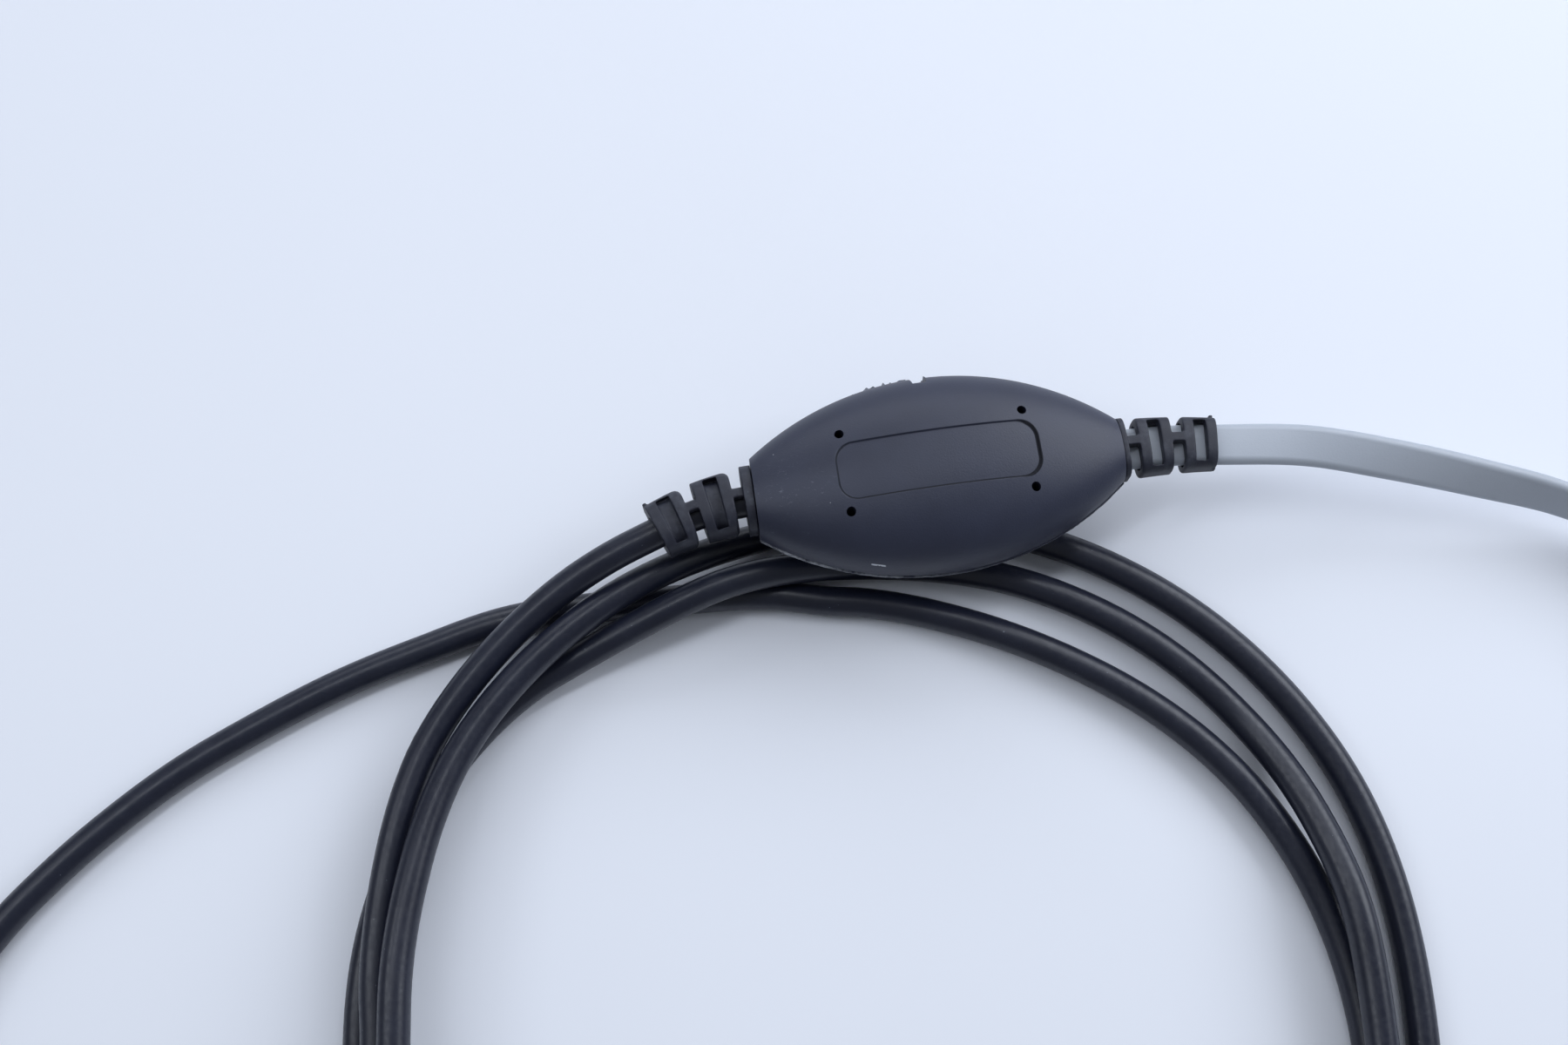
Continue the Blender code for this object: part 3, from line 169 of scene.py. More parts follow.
# How far the cords reach into the pod.
ROUND_CORD_INSIDE = 0.0078
FLAT_CORD_INSIDE = 0.0072

# Where the rear of each plug lies, and the level over the table that what lies on it is flattened to.
MODULAR_REAR = (0.1230, -0.0680)
ROUND_PLUG_REAR = (-0.1700, -0.1030)
LYING_LEVEL = 0.0005

# The reliefs' collars, necks and flanges, as half widths and half heights.
ROUND_COLLAR = (0.0046, 0.0046)
ROUND_NECK = (0.0038, 0.0038)
ROUND_FLANGE = (0.0056, 0.0051)
FLAT_COLLAR = (0.0050, 0.0032)
FLAT_NECK = (0.0043, 0.0023)
FLAT_FLANGE = (0.0050, 0.0041)

# The reliefs' two blocks taper evenly between these (width, height) pairs, over sections of these powers.
ROUND_BLOCKS = ((0.0107, 0.0090), (0.0092, 0.0084))
ROUND_BLOCK_POWER = 2.5
FLAT_BLOCKS = ((0.0097, 0.0071), (0.0084, 0.0066))
FLAT_BLOCK_POWER = 3.2

# The blocks' round shoulders, and the gap that keeps a block's first section off the flange's last.
ROUND_SHOULDER = 0.0011
FLAT_SHOULDER = 0.0004
SHOULDER_STEPS = 6
SECTION_GAP = 0.00002

# The cores under the blocks' windows: half width, half height and power.
ROUND_CORE = (0.0042, 0.0034, 2.2)
FLAT_CORE_HALF_WIDTH = 0.0050
FLAT_CORE_POWER = 4

# The tabs at the blocks' ends: side, length, reach past the block and half height, and their depth in it.
ROUND_TABS = ((1, 0.0006, 0.0002, 0.0020),)
FLAT_TABS = ((1, 0.0006, 0.0006, 0.0009), (-1, 0.0003, 0.0002, 0.0006))
TAB_ROOT = 0.0006

# The grid that rounds the rubber's edges.
RUBBER_VOXEL = 0.00014

# The modular plug's details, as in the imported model, and its rounded edges.
LIP_LENGTH = 0.0010
LIP_DEPTH = 0.0013
CLAMP_BAR_SETBACK = 0.0026
CLAMP_BAR_LENGTH = 0.0018
CLAMP_BAR_WIDTH = 0.0046
CONTACT_COUNT = 4
CONTACT_SETBACK = 0.0006
CONTACT_LENGTH = 0.0034
CONTACT_HEIGHT = 0.0026
CONTACT_THICKNESS = 0.0003
CONTACT_SINK = 0.0003
LATCH_SHOULDER = 0.0042
LATCH_TONGUE_WIDTH = 0.0032
LATCH_THICKNESS = 0.0010
MODULAR_EDGE = 0.00022
CLAMP_BAR_EDGE = 0.00018
LATCH_EDGE = 0.00020

# The round plug's details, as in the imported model, with finer ribs between plain lands and rounded edges.
SHROUD_DEPTH = 0.0034
INSULATOR_LENGTH = 0.0042
WIRED_LENGTH = 0.0075
CLIP_LENGTH = 0.0006
CLIP_GROOVE = 0.0004
GRIP_LAND = 0.0013
GRIP_LAND_FOOT = 0.0015
GRIP_RIB_SETBACK = 0.0018
GRIP_RIB_RADIUS = 0.00022
RING_RIB_SETBACK = 0.0012
RING_RIB_RADIUS = 0.0003
BOOT_GROOVES = 5
BOOT_GROOVE_DEPTH = 0.0006
BOOT_SPIGOT = 0.0045
BARREL_EDGE = 0.00015
BOOT_EDGE = 0.00035
RING_EDGE = 0.0002
PIN_COUNT = 4
# A turned outline's rounds take up at most this share of a side.
MOST_OF_A_SIDE = 0.4

# A bright nick in the plastic over the front rim: its middle, its half length and its slope.
NICK_PLACE = (-0.0120, -0.0143)
NICK_LENGTH = 0.0012
NICK_SLOPE = 0.26

# The fin's ragged edge: its points, and how many waves and nicks it has to a metre.
FIN_STATIONS = 600
FIN_WAVES = 420
FIN_NICKS = 1900

# The bite's cutter: heights over the seam with its share of the bite's length at each, the steps along it
# and its reach out of the rim.
BITE_LEVELS = ((-0.0008, 0.80), (0.0, 0.90), (0.0032, 1.0), (0.0064, 0.80))
BITE_STEPS = 16
BITE_REACH = 0.003

# Burrs along the rim at the back: where each starts, peaks and ends, and its reach in burr heights.
BURRS = (
    (-0.0125, -0.0085, -0.0045, 0.50), (-0.0085, -0.0035, -0.0021, 0.50), (-0.0122, -0.0114, -0.0108, 0.40),
    (-0.0096, -0.0089, -0.0086, 0.40), (-0.0084, -0.0078, -0.0075, 0.35), (-0.0065, -0.0061, -0.0058, 0.55),
    (-0.0054, -0.0049, -0.0047, 0.35), (-0.0042, -0.0024, -0.0020, 0.60), (0.0004, 0.0006, 0.0017, 0.85),
    (0.0030, 0.0035, 0.0042, 0.35), (0.0062, 0.0068, 0.0073, 0.30),
)

# The camera, measured from the photograph.
CAMERA_PLACE = (-0.03583, -0.07613, 0.2530)
CAMERA_LOOK = (0.0390, 0.2729, -0.9613)
CAMERA_RIGHT = (0.98994, -0.14151, 0.0)
CAMERA_LENS = 37.72
CAMERA_SENSOR = 36.0


def size(name, description, default):
    return bpy.props.FloatProperty(
        name=name, description=description, default=default, min=0.0, precision=5,
        unit="LENGTH", subtype="DISTANCE",
    )


def place_along(name, description, default):
    return bpy.props.FloatProperty(
        name=name, description=description, default=default, precision=5, unit="LENGTH", subtype="DISTANCE",
    )


def turn(name, description, degrees):
    return bpy.props.FloatProperty(
        name=name, description=description, default=math.radians(degrees), subtype="ANGLE"
    )


def colour(name, description, default):
    return bpy.props.FloatVectorProperty(
        name=name, description=description, default=default, min=0.0, max=1.0, size=3, subtype="COLOR"
    )


def amount(name, description, default):
    return bpy.props.FloatProperty(
        name=name, description=description, default=default, min=0.0, max=1.0, subtype="FACTOR"
    )


def light_power(name, description, default):
    return bpy.props.FloatProperty(name=name, description=description, default=default, min=0.0, unit="POWER")


class PodSettings(bpy.types.PropertyGroup):
    """Sizes and colours of the two shells"""

    length: size("Length", "Length of the pod without its reliefs", 0.0594)
    width: size("Width", "Width of the pod at its widest place, without the fin", 0.0326)
    widest: place_along("Widest place", "Where along the pod it is widest", -0.0007)
    crown: size("Crown", "Height of the upper shell over the seam", 0.0102)
    belly: size("Belly", "Depth of the lower shell before it is cut flat", 0.0098)
    pad: size("Pad", "Depth of the flat under the pod", 0.0090)
    round_end_width: size("Round end width", "Width of the end that the round cord leaves", 0.0134)
    round_end_height: size("Round end height", "Height of the end that the round cord leaves", 0.0114)
    flat_end_width: size("Flat end width", "Width of the end that the flat cord leaves", 0.0106)
    flat_end_height: size("Flat end height", "Height of the end that the flat cord leaves", 0.0092)
    wall: size("Wall", "Thickness of the shells", 0.0012)
    end_wall: size("End wall", "Thickness of the walls that the reliefs pass through", 0.0020)
    seam: size("Seam", "Gap between the shells", 0.0003)
    fin_reach: size("Fin reach", "How far the moulding fin stands out", 0.0003)
    fin_thickness: size("Fin thickness", "Thickness of the moulding fin", 0.0004)
    bite_place: place_along("Bite place", "Middle of the bite torn out of the rim", -0.0010)
    bite_length: size("Bite length", "Length of the bite torn out of the rim", 0.0027)
    bite_depth: size("Bite depth", "Depth of the bite torn out of the rim", 0.00012)
    bite_lean: turn("Bite lean", "How far the bite leans in over the seam", 20.0)
    burr: size("Burrs", "How far the burrs beside the bite stand out", 0.0009)
    panel_place: place_along("Panel place", "Middle of the sunk panel along the pod", -0.0005)
    panel_length: size("Panel length", "Length of the sunk panel", 0.0320)
    panel_width: size("Panel width", "Width of the sunk panel", 0.0093)
    panel_corner: size("Panel corner", "Corner radius of the sunk panel", 0.0030)
    panel_depth: size("Panel depth", "Depth of the sunk panel", 0.0003)
    pin_spacing_x: size("Pin spacing along", "Distance between the pins along the pod", 0.0292)
    pin_spacing_y: size("Pin spacing across", "Distance between the pins across the pod", 0.0128)
    pin_hole: size("Pin hole", "Radius of the pin holes", 0.00075)
    plastic: colour("Plastic", "Colour of the moulded shells", (0.0245, 0.0290, 0.0540))
    # Colour of rubbed plastic, also used for the painted sheen along the ridge and at the flat cord's end.
    scuff_and_sheen: colour("Scuff", "Colour of rubbed plastic", (0.106, 0.117, 0.155))
    flash: colour("Flash", "Colour of the thin torn fin", (0.381, 0.402, 0.440))
    # Also sets the strength of the painted sheen along the ridge.
    wear_and_sheen: amount("Wear", "How much the plastic is rubbed and dusty", 0.6)


class CordSettings(bpy.types.PropertyGroup):
    """Sizes and colours of the cords and their reliefs"""

    round_diameter: size("Round cord", "Diameter of the round cord", 0.0050)
    flat_width: size("Flat cord width", "Width of the flat cord", 0.0068)
    flat_thickness: size("Flat cord thickness", "Thickness of the flat cord", 0.0024)
    collar: size("Collar", "Length of the reliefs' collars inside the pod", 0.0013)
    web: size("Web", "Width of the webs that join a relief's blocks", 0.0015)
    web_back: size("Web to the back", "How far to the back of the middle the webs lie", 0.0005)
    side_bar: size("Side bar", "Thickness of the bars beside a relief's windows", 0.0008)
    window_floor: size("Window floor", "Height of the window floors over the middle", 0.0010)
    round_turn: turn("Round relief turn", "How far the round cord's relief bends", 22.0)
    round_flange: size("Round flange", "Thickness of the round relief's flange", 0.0014)
    round_slot: size("Round slots", "Width of the slots in the round relief", 0.0017)
    round_ring: size("Round rings", "Width of the rings of the round relief", 0.0018)
    round_window: size("Round windows", "Width of the windows in the round relief", 0.00215)
    flat_turn: turn("Flat relief turn", "How far the flat cord's relief bends", 8.5)
    flat_flange: size("Flat flange", "Thickness of the flat relief's flange", 0.0007)
    flat_slot: size("Flat slots", "Width of the slots in the flat relief", 0.0020)
    flat_ring: size("Flat rings", "Width of the rings of the flat relief", 0.0017)
    flat_window: size("Flat windows", "Width of the windows in the flat relief", 0.0019)
    round_jacket: colour("Round jacket", "Colour of the round cord", (0.0110, 0.0135, 0.0270))
    flat_jacket: colour("Flat jacket", "Colour of the flat cord", (0.423, 0.459, 0.520))
    rubber: colour("Rubber", "Colour of the reliefs and the boot", (0.0137, 0.0157, 0.0290))
    dust: colour("Dust", "Colour of the dust on the cords", (0.286, 0.313, 0.370))


class PlugSettings(bpy.types.PropertyGroup):
    """Sizes and colours of the two plugs"""

    modular_length: size("Modular length", "Length of the modular plug", 0.0124)
    modular_width: size("Modular width", "Width of the modular plug", 0.00965)
    modular_height: size("Modular height", "Height of the modular plug", 0.0066)
    modular_cavity: size("Cavity", "Depth of the opening for the flat cord", 0.0072)
    modular_lift: size("Modular lift", "Gap under the modular plug", 0.0002)
    contact_pitch: size("Contact pitch", "Distance between contacts", 0.00102)
    latch_length: size("Latch length", "Length of the latch", 0.0120)
    latch_width: size("Latch width", "Width of the latch's root", 0.0060)
    latch_slope: turn("Latch slope", "How far the latch stands off the plug", 12.0)
    boot_length: size("Boot length", "Length of the round plug's boot", 0.0215)
    boot_rear: size("Boot rear", "Radius of the boot where the cord goes in", 0.0040)
    boot_front: size("Boot front", "Radius of the boot at the barrel", 0.0058)
    grip_length: size("Grip length", "Length of the barrel's grip", 0.0098)
    grip_radius: size("Grip radius", "Radius of the barrel's grip", 0.0073)
    sleeve_length: size("Sleeve length", "Length of the barrel's sleeve", 0.0102)
    sleeve_radius: size("Sleeve radius", "Radius of the barrel's sleeve", 0.0050)
    sleeve_bore: size("Sleeve bore", "Radius of the barrel's bore", 0.0042)
    ring_length: size("Ring length", "Length of the locking ring", 0.0094)
    ring_radius: size("Ring radius", "Radius of the locking ring over its ribs", 0.0070)
    ring_thread: size("Ring thread", "Radius of the ring's thread", 0.0060)
    ring_lip: size("Ring lip", "Thickness of the ring's lip", 0.0024)
    ring_ribs: bpy.props.IntProperty(
        name="Ring ribs", description="Number of ribs on the locking ring", default=36, min=6
    )
    grip_ribs: bpy.props.IntProperty(
        name="Grip ribs", description="Number of ribs on the barrel's grip", default=60, min=6
    )
    lift: size("Lift", "Gap under the round plug", 0.0002)
    clear: colour("Clear plastic", "Colour of the modular plug", (0.800, 0.820, 0.840))
    nickel: colour("Nickel", "Colour of the plated metal", (0.560, 0.570, 0.590))
    gold: colour("Gold", "Colour of the contacts and pins", (0.830, 0.610, 0.230))


class StageSettings(bpy.types.PropertyGroup):
    """The table, the wall behind it and the lights"""

    table: place_along("Table", "Height of the table from the seam of the pod", -0.0143)
    table_colour: colour("Table colour", "Colour of the pale table", (0.867, 0.892, 0.960))
    table_size: size("Table size", "Width of the table", 4.0)
    wall_colour: colour("Wall colour", "Colour of the background behind the table", (0.700, 0.745, 0.855))
    sweep_start: size("Sweep start", "How far out the table starts to fade into the wall", 0.30)
    sweep_end: size("Sweep end", "How far out the table has faded into the wall", 0.75)
    sky: amount("Sky", "Strength of the even light from all round", 0.20)
    light_colour: colour("Light colour", "Colour of the lights", (0.87, 0.92, 1.0))
    overhead_power: light_power("Overhead power", "Power of the long light overhead", 1.7)
    right_power: light_power("Right power", "Power of the light at the right", 12.2)
    left_power: light_power("Left power", "Power of the light at the left", 1.6)
    back_power: light_power("Back power", "Power of the light at the back", 7.6)


class Tap:
    """A shader socket that can stand in a Python expression, where each operator adds a Math node."""

    def __init__(self, finish, socket):
        self.finish = finish
        self.socket = socket

    def other(self, name):
        """Another output of the same node."""
        return Tap(self.finish, self.socket.node.outputs[name])

    def __add__(self, value):
        return self.finish.math("ADD", self, value)

    def __radd__(self, value):
        return self.finish.math("ADD", value, self)

    def __sub__(self, value):
        return self.finish.math("SUBTRACT", self, value)

    def __rsub__(self, value):
        return self.finish.math("SUBTRACT", value, self)

    def __mul__(self, value):
        return self.finish.math("MULTIPLY", self, value)

    def __rmul__(self, value):
        return self.finish.math("MULTIPLY", value, self)

    def __abs__(self):
        return self.finish.math("ABSOLUTE", self)


class Finish:
    """A material under construction, read over Object coordinates."""

    def __init__(self, name):
        self.material = bpy.data.materials.new(name)
        self.material.use_nodes = True
        self.tree = self.material.node_tree
        self.shader = self.tree.nodes["Principled BSDF"]

    def node(self, kind, settings=None, values=None, output=0):
        """A node of a kind with its settings, then the values or links of its sockets, as one output."""
        node = self.tree.nodes.new(kind)
        for name, value in (settings or {}).items():
            setattr(node, name, value)
        for key, value in (values or {}).items():
            self.feed(node.inputs[key], value)
        return Tap(self, node.outputs[output])

    def math(self, operation, *values):
        return self.node("ShaderNodeMath", {"operation": operation}, dict(enumerate(values)))

    def feed(self, socket, value):
        """Links a socket to a tap, or sets its value."""
        if isinstance(value, Tap):
            self.tree.links.new(value.socket, socket)
        elif socket.type == "RGBA":
            socket.default_value = (*value[:3], 1.0)
        else:
            socket.default_value = value

    def set(self, **values):
        """Values or links of the shader's own sockets, with _ for a space in a name."""
        for name, value in values.items():
            self.feed(self.shader.inputs[name.replace("_", " ")], value)
        return self.material

    def place(self, stretch=(1, 1, 1), turned=(0, 0, 0)):
        """Object coordinates, stretched and turned."""
        where = self.node("ShaderNodeTexCoord", output="Object")
        if stretch == (1, 1, 1) and turned == (0, 0, 0):
            return where
        return self.node("ShaderNodeMapping", None, {"Vector": where, "Rotation": turned, "Scale": stretch})

    def axis(self, where, letter):
        return self.node("ShaderNodeSeparateXYZ", None, {0: where}, letter)

    def axes(self, where):
        return [self.axis(where, letter) for letter in "XYZ"]

    def noise(self, where, feature, detail=3.0, roughness=0.5):
        """Soft noise whose features are about that many metres."""
        values = {"Vector": where, "Scale": 1 / feature, "Detail": detail, "Roughness": roughness}
        return self.node("ShaderNodeTexNoise", None, values, "Fac")

    def specks(self, where, spacing, radius, share):
        """Round specks: about one to a cell of that spacing, kept in a share of the cells."""
        cells = self.node(
            "ShaderNodeTexVoronoi", {"feature": "F1"}, {"Vector": where, "Scale": 1 / spacing}, "Distance"
        )
        dot = self.ramp(cells, radius / spacing, 0.3 * radius / spacing)
        chance = self.node("ShaderNodeSeparateColor", None, {0: cells.other("Color")}, 0)
        return dot * self.ramp(chance, 1 - share, 1 - share + 0.01)

    def ramp(self, value, low, high):
        """A smooth step from 0 at low to 1 at high."""
        values = {"Value": value, "From Min": low, "From Max": high}
        return self.node("ShaderNodeMapRange", {"interpolation_type": "SMOOTHSTEP"}, values)

    def most(self, first, second):
        return self.math("MAXIMUM", first, second)

    def least(self, first, second):
        return self.math("MINIMUM", first, second)

    def root(self, value):
        return self.math("SQRT", value)

    def mix(self, factor, first, second):
        """A mix of two colours, whose sockets are the Mix node's seventh and eighth."""
        return self.node("ShaderNodeMix", {"data_type": "RGBA"}, {0: factor, 6: first, 7: second}, 2)

    def bump(self, height, depth):
        return self.node("ShaderNodeBump", None, {"Height": height, "Distance": depth, "Strength": 1.0})


def tint(base, factor):
    """A colour made lighter or darker."""
    return tuple(min(1.0, channel * factor) for channel in base)


def panel_edge_shade(finish, pod, where):
    """Painted shade round the sunk panel's step: 1 on the line round the panel, 0 away from it, and darkest
    at the flat cord's end.
    """
    corner = pod.panel_corner
    x, y = finish.axis(where, "X") - pod.panel_place, finish.axis(where, "Y")
    dx = abs(x) - (pod.panel_length / 2 - corner)
    dy = abs(y) - (pod.panel_width / 2 - corner)
    out_x, out_y = finish.most(dx, 0.0), finish.most(dy, 0.0)
    past = finish.root(out_x * out_x + out_y * out_y) + finish.least(finish.most(dx, dy), 0.0) - corner
    end = finish.ramp(x, pod.panel_length * 0.38, pod.panel_length * 0.47)
    line = finish.ramp(abs(past + 0.00004) - end * 0.00018, 0.00021, 0.00008)
    front = finish.ramp(y, pod.panel_width * 0.3, -pod.panel_width * 0.3)
    start = finish.ramp(x, -pod.panel_length * 0.40, -pod.panel_length * 0.47)
    # Painted shade: strongest on the front side, at the round cord's end and most at the flat cord's end.
    shade = finish.most(finish.most(0.10 + 0.90 * front, start * 0.80), end)
    return line * shade * finish.ramp(finish.axis(where, "Z"), 0.006, 0.007)


def pod_plastic(name, pod):
    """Satin moulded plastic with a fine grain, rubbed at the round cord's end and along the rim, with a
    painted sheen along its ridge near the round cord's end and a lighter speckled band, part rubbing and part
    painted sheen, at the flat cord's end.
    """
    finish = Finish(name)
    where = finish.place()
    x, y, z = finish.axes(where)
    grain = finish.noise(where, 0.00028, 2)
    clouds = finish.noise(where, 0.009, 4, 0.6)
    rubs = finish.noise(finish.place((0.25, 1, 1), turned=(0, 0, math.radians(12))), 0.0011, 5, 0.7)
    band = finish.ramp(x, -pod.length * 0.28, -pod.length * 0.40)
    # A lighter speckled band at the flat cord's end: part rubbing, part painted sheen.
    end_wear_and_sheen = finish.ramp(x, pod.length * 0.34, pod.length * 0.46)
    speckle = finish.ramp(finish.noise(finish.place((0.4, 1, 1)), 0.00042, 4, 0.75), 0.58, 0.72)
    # Painted sheen: a lighter band along the ridge near the round cord's end.
    crest_sheen = finish.ramp(abs(y + 0.0012), 0.0034, 0.0006)
    crest_sheen = crest_sheen * finish.ramp(x, -pod.length * 0.20, -pod.length * 0.30)
    rubbed = speckle * band * finish.ramp(clouds, 0.40, 0.62)
    # Rubbing at the round cord's end and the painted sheen along the ridge share one pale colour.
    scuffs_and_sheen = (rubbed + crest_sheen * (0.18 + 0.75 * speckle)) * pod.wear_and_sheen
    dust = finish.specks(where, 0.0042, 0.00015, 0.40) + finish.specks(where, 0.0090, 0.00022, 0.30)
    scratches = finish.ramp(rubs, 0.66, 0.72) * finish.ramp(clouds, 0.48, 0.64) * 0.22 * pod.wear_and_sheen
    rim = finish.ramp(abs(z), 0.0009, 0.0003) * finish.ramp(clouds, 0.42, 0.60) * 0.20
    skin = finish.mix(clouds, tint(pod.plastic, 0.78), tint(pod.plastic, 1.22))
    skin = finish.mix(scuffs_and_sheen + scratches + rim + end_wear_and_sheen * speckle * 0.25, skin, pod.scuff_and_sheen)
    skin = finish.mix(dust * 0.65, skin, pod.flash)
    roughness = 0.39 + clouds * 0.08 + scuffs_and_sheen * 0.20 + grain * 0.06
    height = grain * 0.6 + clouds * 0.5 + speckle * band * 0.2 + scratches * -2.0
    return finish, skin, roughness, finish.bump(height, 0.000035)


def upper_finish(pod):
    """The plastic with painted shade along the panel's outline and a bright nick over the front rim."""
    finish, skin, roughness, bump = pod_plastic("pod_plastic_upper", pod)
    where = finish.place()
    x, y = finish.axis(where, "X") - NICK_PLACE[0], finish.axis(where, "Y") - NICK_PLACE[1]
    nick = finish.ramp(abs(y + x * NICK_SLOPE), 0.00010, 0.00005)
    nick = nick * finish.ramp(abs(x), NICK_LENGTH, NICK_LENGTH * 0.8)
    nick = nick * finish.ramp(finish.noise(where, 0.0005, 2), 0.34, 0.44)
    nick = nick * finish.ramp(finish.axis(where, "Z"), 0.0, 0.001)
    # Painted shade along the panel's step darkens the skin and dulls its sheen.
    groove = panel_edge_shade(finish, pod, where)
    skin = finish.mix(groove * 0.90, skin, tint(pod.plastic, 0.12))
    skin = finish.mix(nick, skin, tint(pod.flash, 1.6))
    return finish.set(Base_Color=skin, Roughness=roughness + groove * 0.50, Normal=bump)


def lower_finish(pod):
    """The same plastic, with the thin fin pale where it is worn and torn."""
    finish, skin, roughness, bump = pod_plastic("pod_plastic_lower", pod)
    where = finish.place()
    z = finish.axis(where, "Z")
    ragged = finish.noise(where, 0.0024, 5, 0.7)
    low, high = -pod.seam / 2 - pod.fin_thickness, -pod.seam / 2
    fin = finish.ramp(z, low - 0.00012, low - 0.00002) * finish.ramp(z, high + 0.00012, high + 0.00002)
    x = finish.axis(where, "X")
    worn = finish.ramp(x, 0.012, -0.012) * 0.45 + finish.ramp(x, -0.012, -0.020) * 0.50
    skin = finish.mix(fin * finish.ramp(ragged, 0.36, 0.62) * worn, skin, tint(pod.flash, 1.3))
    return finish.set(Base_Color=skin, Roughness=roughness, Normal=bump)


def rubber(name, cords):
    """Matt black flexible moulding with fine dust in its grain."""
    finish = Finish(name)
    where = finish.place()
    grain = finish.noise(where, 0.00022, 3, 0.6)
    clouds = finish.noise(where, 0.0030, 4, 0.6)
    dust = finish.specks(where, 0.0017, 0.00009, 0.35)
    bloom = finish.ramp(clouds, 0.45, 0.75) * 0.12
    skin = finish.mix(clouds, tint(cords.rubber, 0.85), tint(cords.rubber, 1.20))
    skin = finish.mix(bloom + dust * 0.45, skin, cords.dust)
    roughness = 0.46 + clouds * 0.16
    return finish.set(
        Base_Color=skin, Roughness=roughness, Normal=finish.bump(grain * 0.7 + clouds, 0.00004)
    )


def round_jacket(cords):
    """Satin black jacket: a mottled sheen from its pebbled skin, and grey dust in specks and patches."""
    finish = Finish("round_cord_jacket")
    where = finish.place()
    pebbles = finish.noise(where, 0.0008, 3, 0.55)
    fine = finish.noise(where, 0.00025, 2, 0.5)
    clouds = finish.noise(where, 0.0075, 4, 0.65)
    patches = finish.ramp(clouds, 0.42, 0.68)
    dust = finish.specks(where, 0.0013, 0.00011, 0.30) + finish.specks(where, 0.0040, 0.00020, 0.30)
    haze = finish.ramp(fine, 0.50, 0.70) * patches * 0.02
    skin = finish.mix(clouds, tint(cords.round_jacket, 0.75), tint(cords.round_jacket, 1.25))
    skin = finish.mix(haze + dust * 0.40 * finish.ramp(clouds, 0.38, 0.60), skin, cords.dust)
    roughness = 0.26 + clouds * 0.10 + finish.ramp(pebbles, 0.40, 0.65) * 0.10
    height = pebbles + fine * 0.15
    return finish.set(Base_Color=skin, Roughness=roughness, Normal=finish.bump(height, 0.000024))


def flat_jacket(cords):
    """Satin silver-grey jacket with a fine grain, a little grime and a few specks."""
    finish = Finish("flat_cord_jacket")
    where = finish.place()
    clouds = finish.noise(where, 0.010, 4, 0.6)
    fine = finish.noise(where, 0.00030, 3, 0.6)
    grime = finish.ramp(finish.noise(where, 0.0026, 5, 0.7), 0.60, 0.78) * 0.10
    specks = finish.specks(where, 0.0031, 0.00011, 0.25)
    skin = finish.mix(clouds, tint(cords.flat_jacket, 0.96), tint(cords.flat_jacket, 1.05))
    skin = finish.mix(grime + specks * 0.4, skin, tint(cords.flat_jacket, 0.45))
    roughness = 0.34 + clouds * 0.12
    return finish.set(Base_Color=skin, Roughness=roughness, Normal=finish.bump(fine, 0.00002))


def clear_plastic(name, plugs):
    """Clear moulded plastic, a little hazy and rubbed."""
    finish = Finish(name)
    where = finish.place()
    clouds = finish.noise(where, 0.0035, 4, 0.6)
    rubs = finish.ramp(finish.noise(finish.place((1, 0.2, 1)), 0.0006, 5, 0.7), 0.58, 0.74)
    skin = finish.mix(clouds, tint(plugs.clear, 0.94), plugs.clear)
    roughness = 0.06 + clouds * 0.06 + rubs * 0.16
    return finish.set(
        Base_Color=skin, Roughness=roughness, Transmission_Weight=0.82, IOR=1.49,
        Normal=finish.bump(clouds + rubs * 0.3, 0.00003),
    )


def plated_metal(name, base, feature, stretch=(1, 1, 1)):
    """Plated metal with fine turning marks and a few dull patches."""
    finish = Finish(name)
    where = finish.place(stretch)
    lines = finish.noise(where, feature, 4, 0.7)
    clouds = finish.noise(finish.place(), 0.0040, 4, 0.6)
    skin = finish.mix(clouds, tint(base, 0.86), tint(base, 1.06))
    roughness = 0.24 + lines * 0.10 + finish.ramp(clouds, 0.55, 0.75) * 0.08
    return finish.set(
        Base_Color=skin, Metallic=1.0, Roughness=roughness, Normal=finish.bump(lines, 0.000004)
    )


def gold_plate(name, plugs):
    return plated_metal(name, plugs.gold, 0.0003, (1, 0.2, 1))


def board_laminate():
    """Green laminate: solder mask over traces, with a bare glass edge."""
    finish = Finish("board_laminate")
    where = finish.place()
    x, y, z = finish.axes(where)
    weave = finish.noise(finish.place((1, 3, 1)), 0.0003, 2)
    cells = finish.node(
        "ShaderNodeTexVoronoi", {"feature": "DISTANCE_TO_EDGE"},
        {"Vector": finish.place((1, 0.6, 0)), "Scale": 420.0}, "Distance",
    )
    traces = finish.ramp(cells, 0.10, 0.07) * finish.ramp(abs(y), 0.0078, 0.0074)
    edge = finish.ramp(z, -0.00025, -0.00019)
    skin = finish.mix(traces, (0.012, 0.090, 0.042), (0.045, 0.210, 0.090))
    skin = finish.mix(1 - edge * finish.ramp(abs(x), 0.0180, 0.0176), skin, (0.20, 0.21, 0.10))
    skin = finish.mix(edge, (0.20, 0.22, 0.11), skin)
    return finish.set(
        Base_Color=skin, Roughness=0.34 + weave * 0.2, Normal=finish.bump(traces + weave * 0.2, 0.00003)
    )


def insulator_finish():
    """Matt black moulding round the plug's pins."""
    finish = Finish("insulator_black")
    where = finish.place()
    grain = finish.noise(where, 0.00018, 3, 0.6)
    clouds = finish.noise(where, 0.0024, 3)
    skin = finish.mix(clouds, tint(INSULATOR_BLACK, 0.8), tint(INSULATOR_BLACK, 1.5))
    return finish.set(Base_Color=skin, Roughness=0.42 + grain * 0.2, Normal=finish.bump(grain, 0.00003))


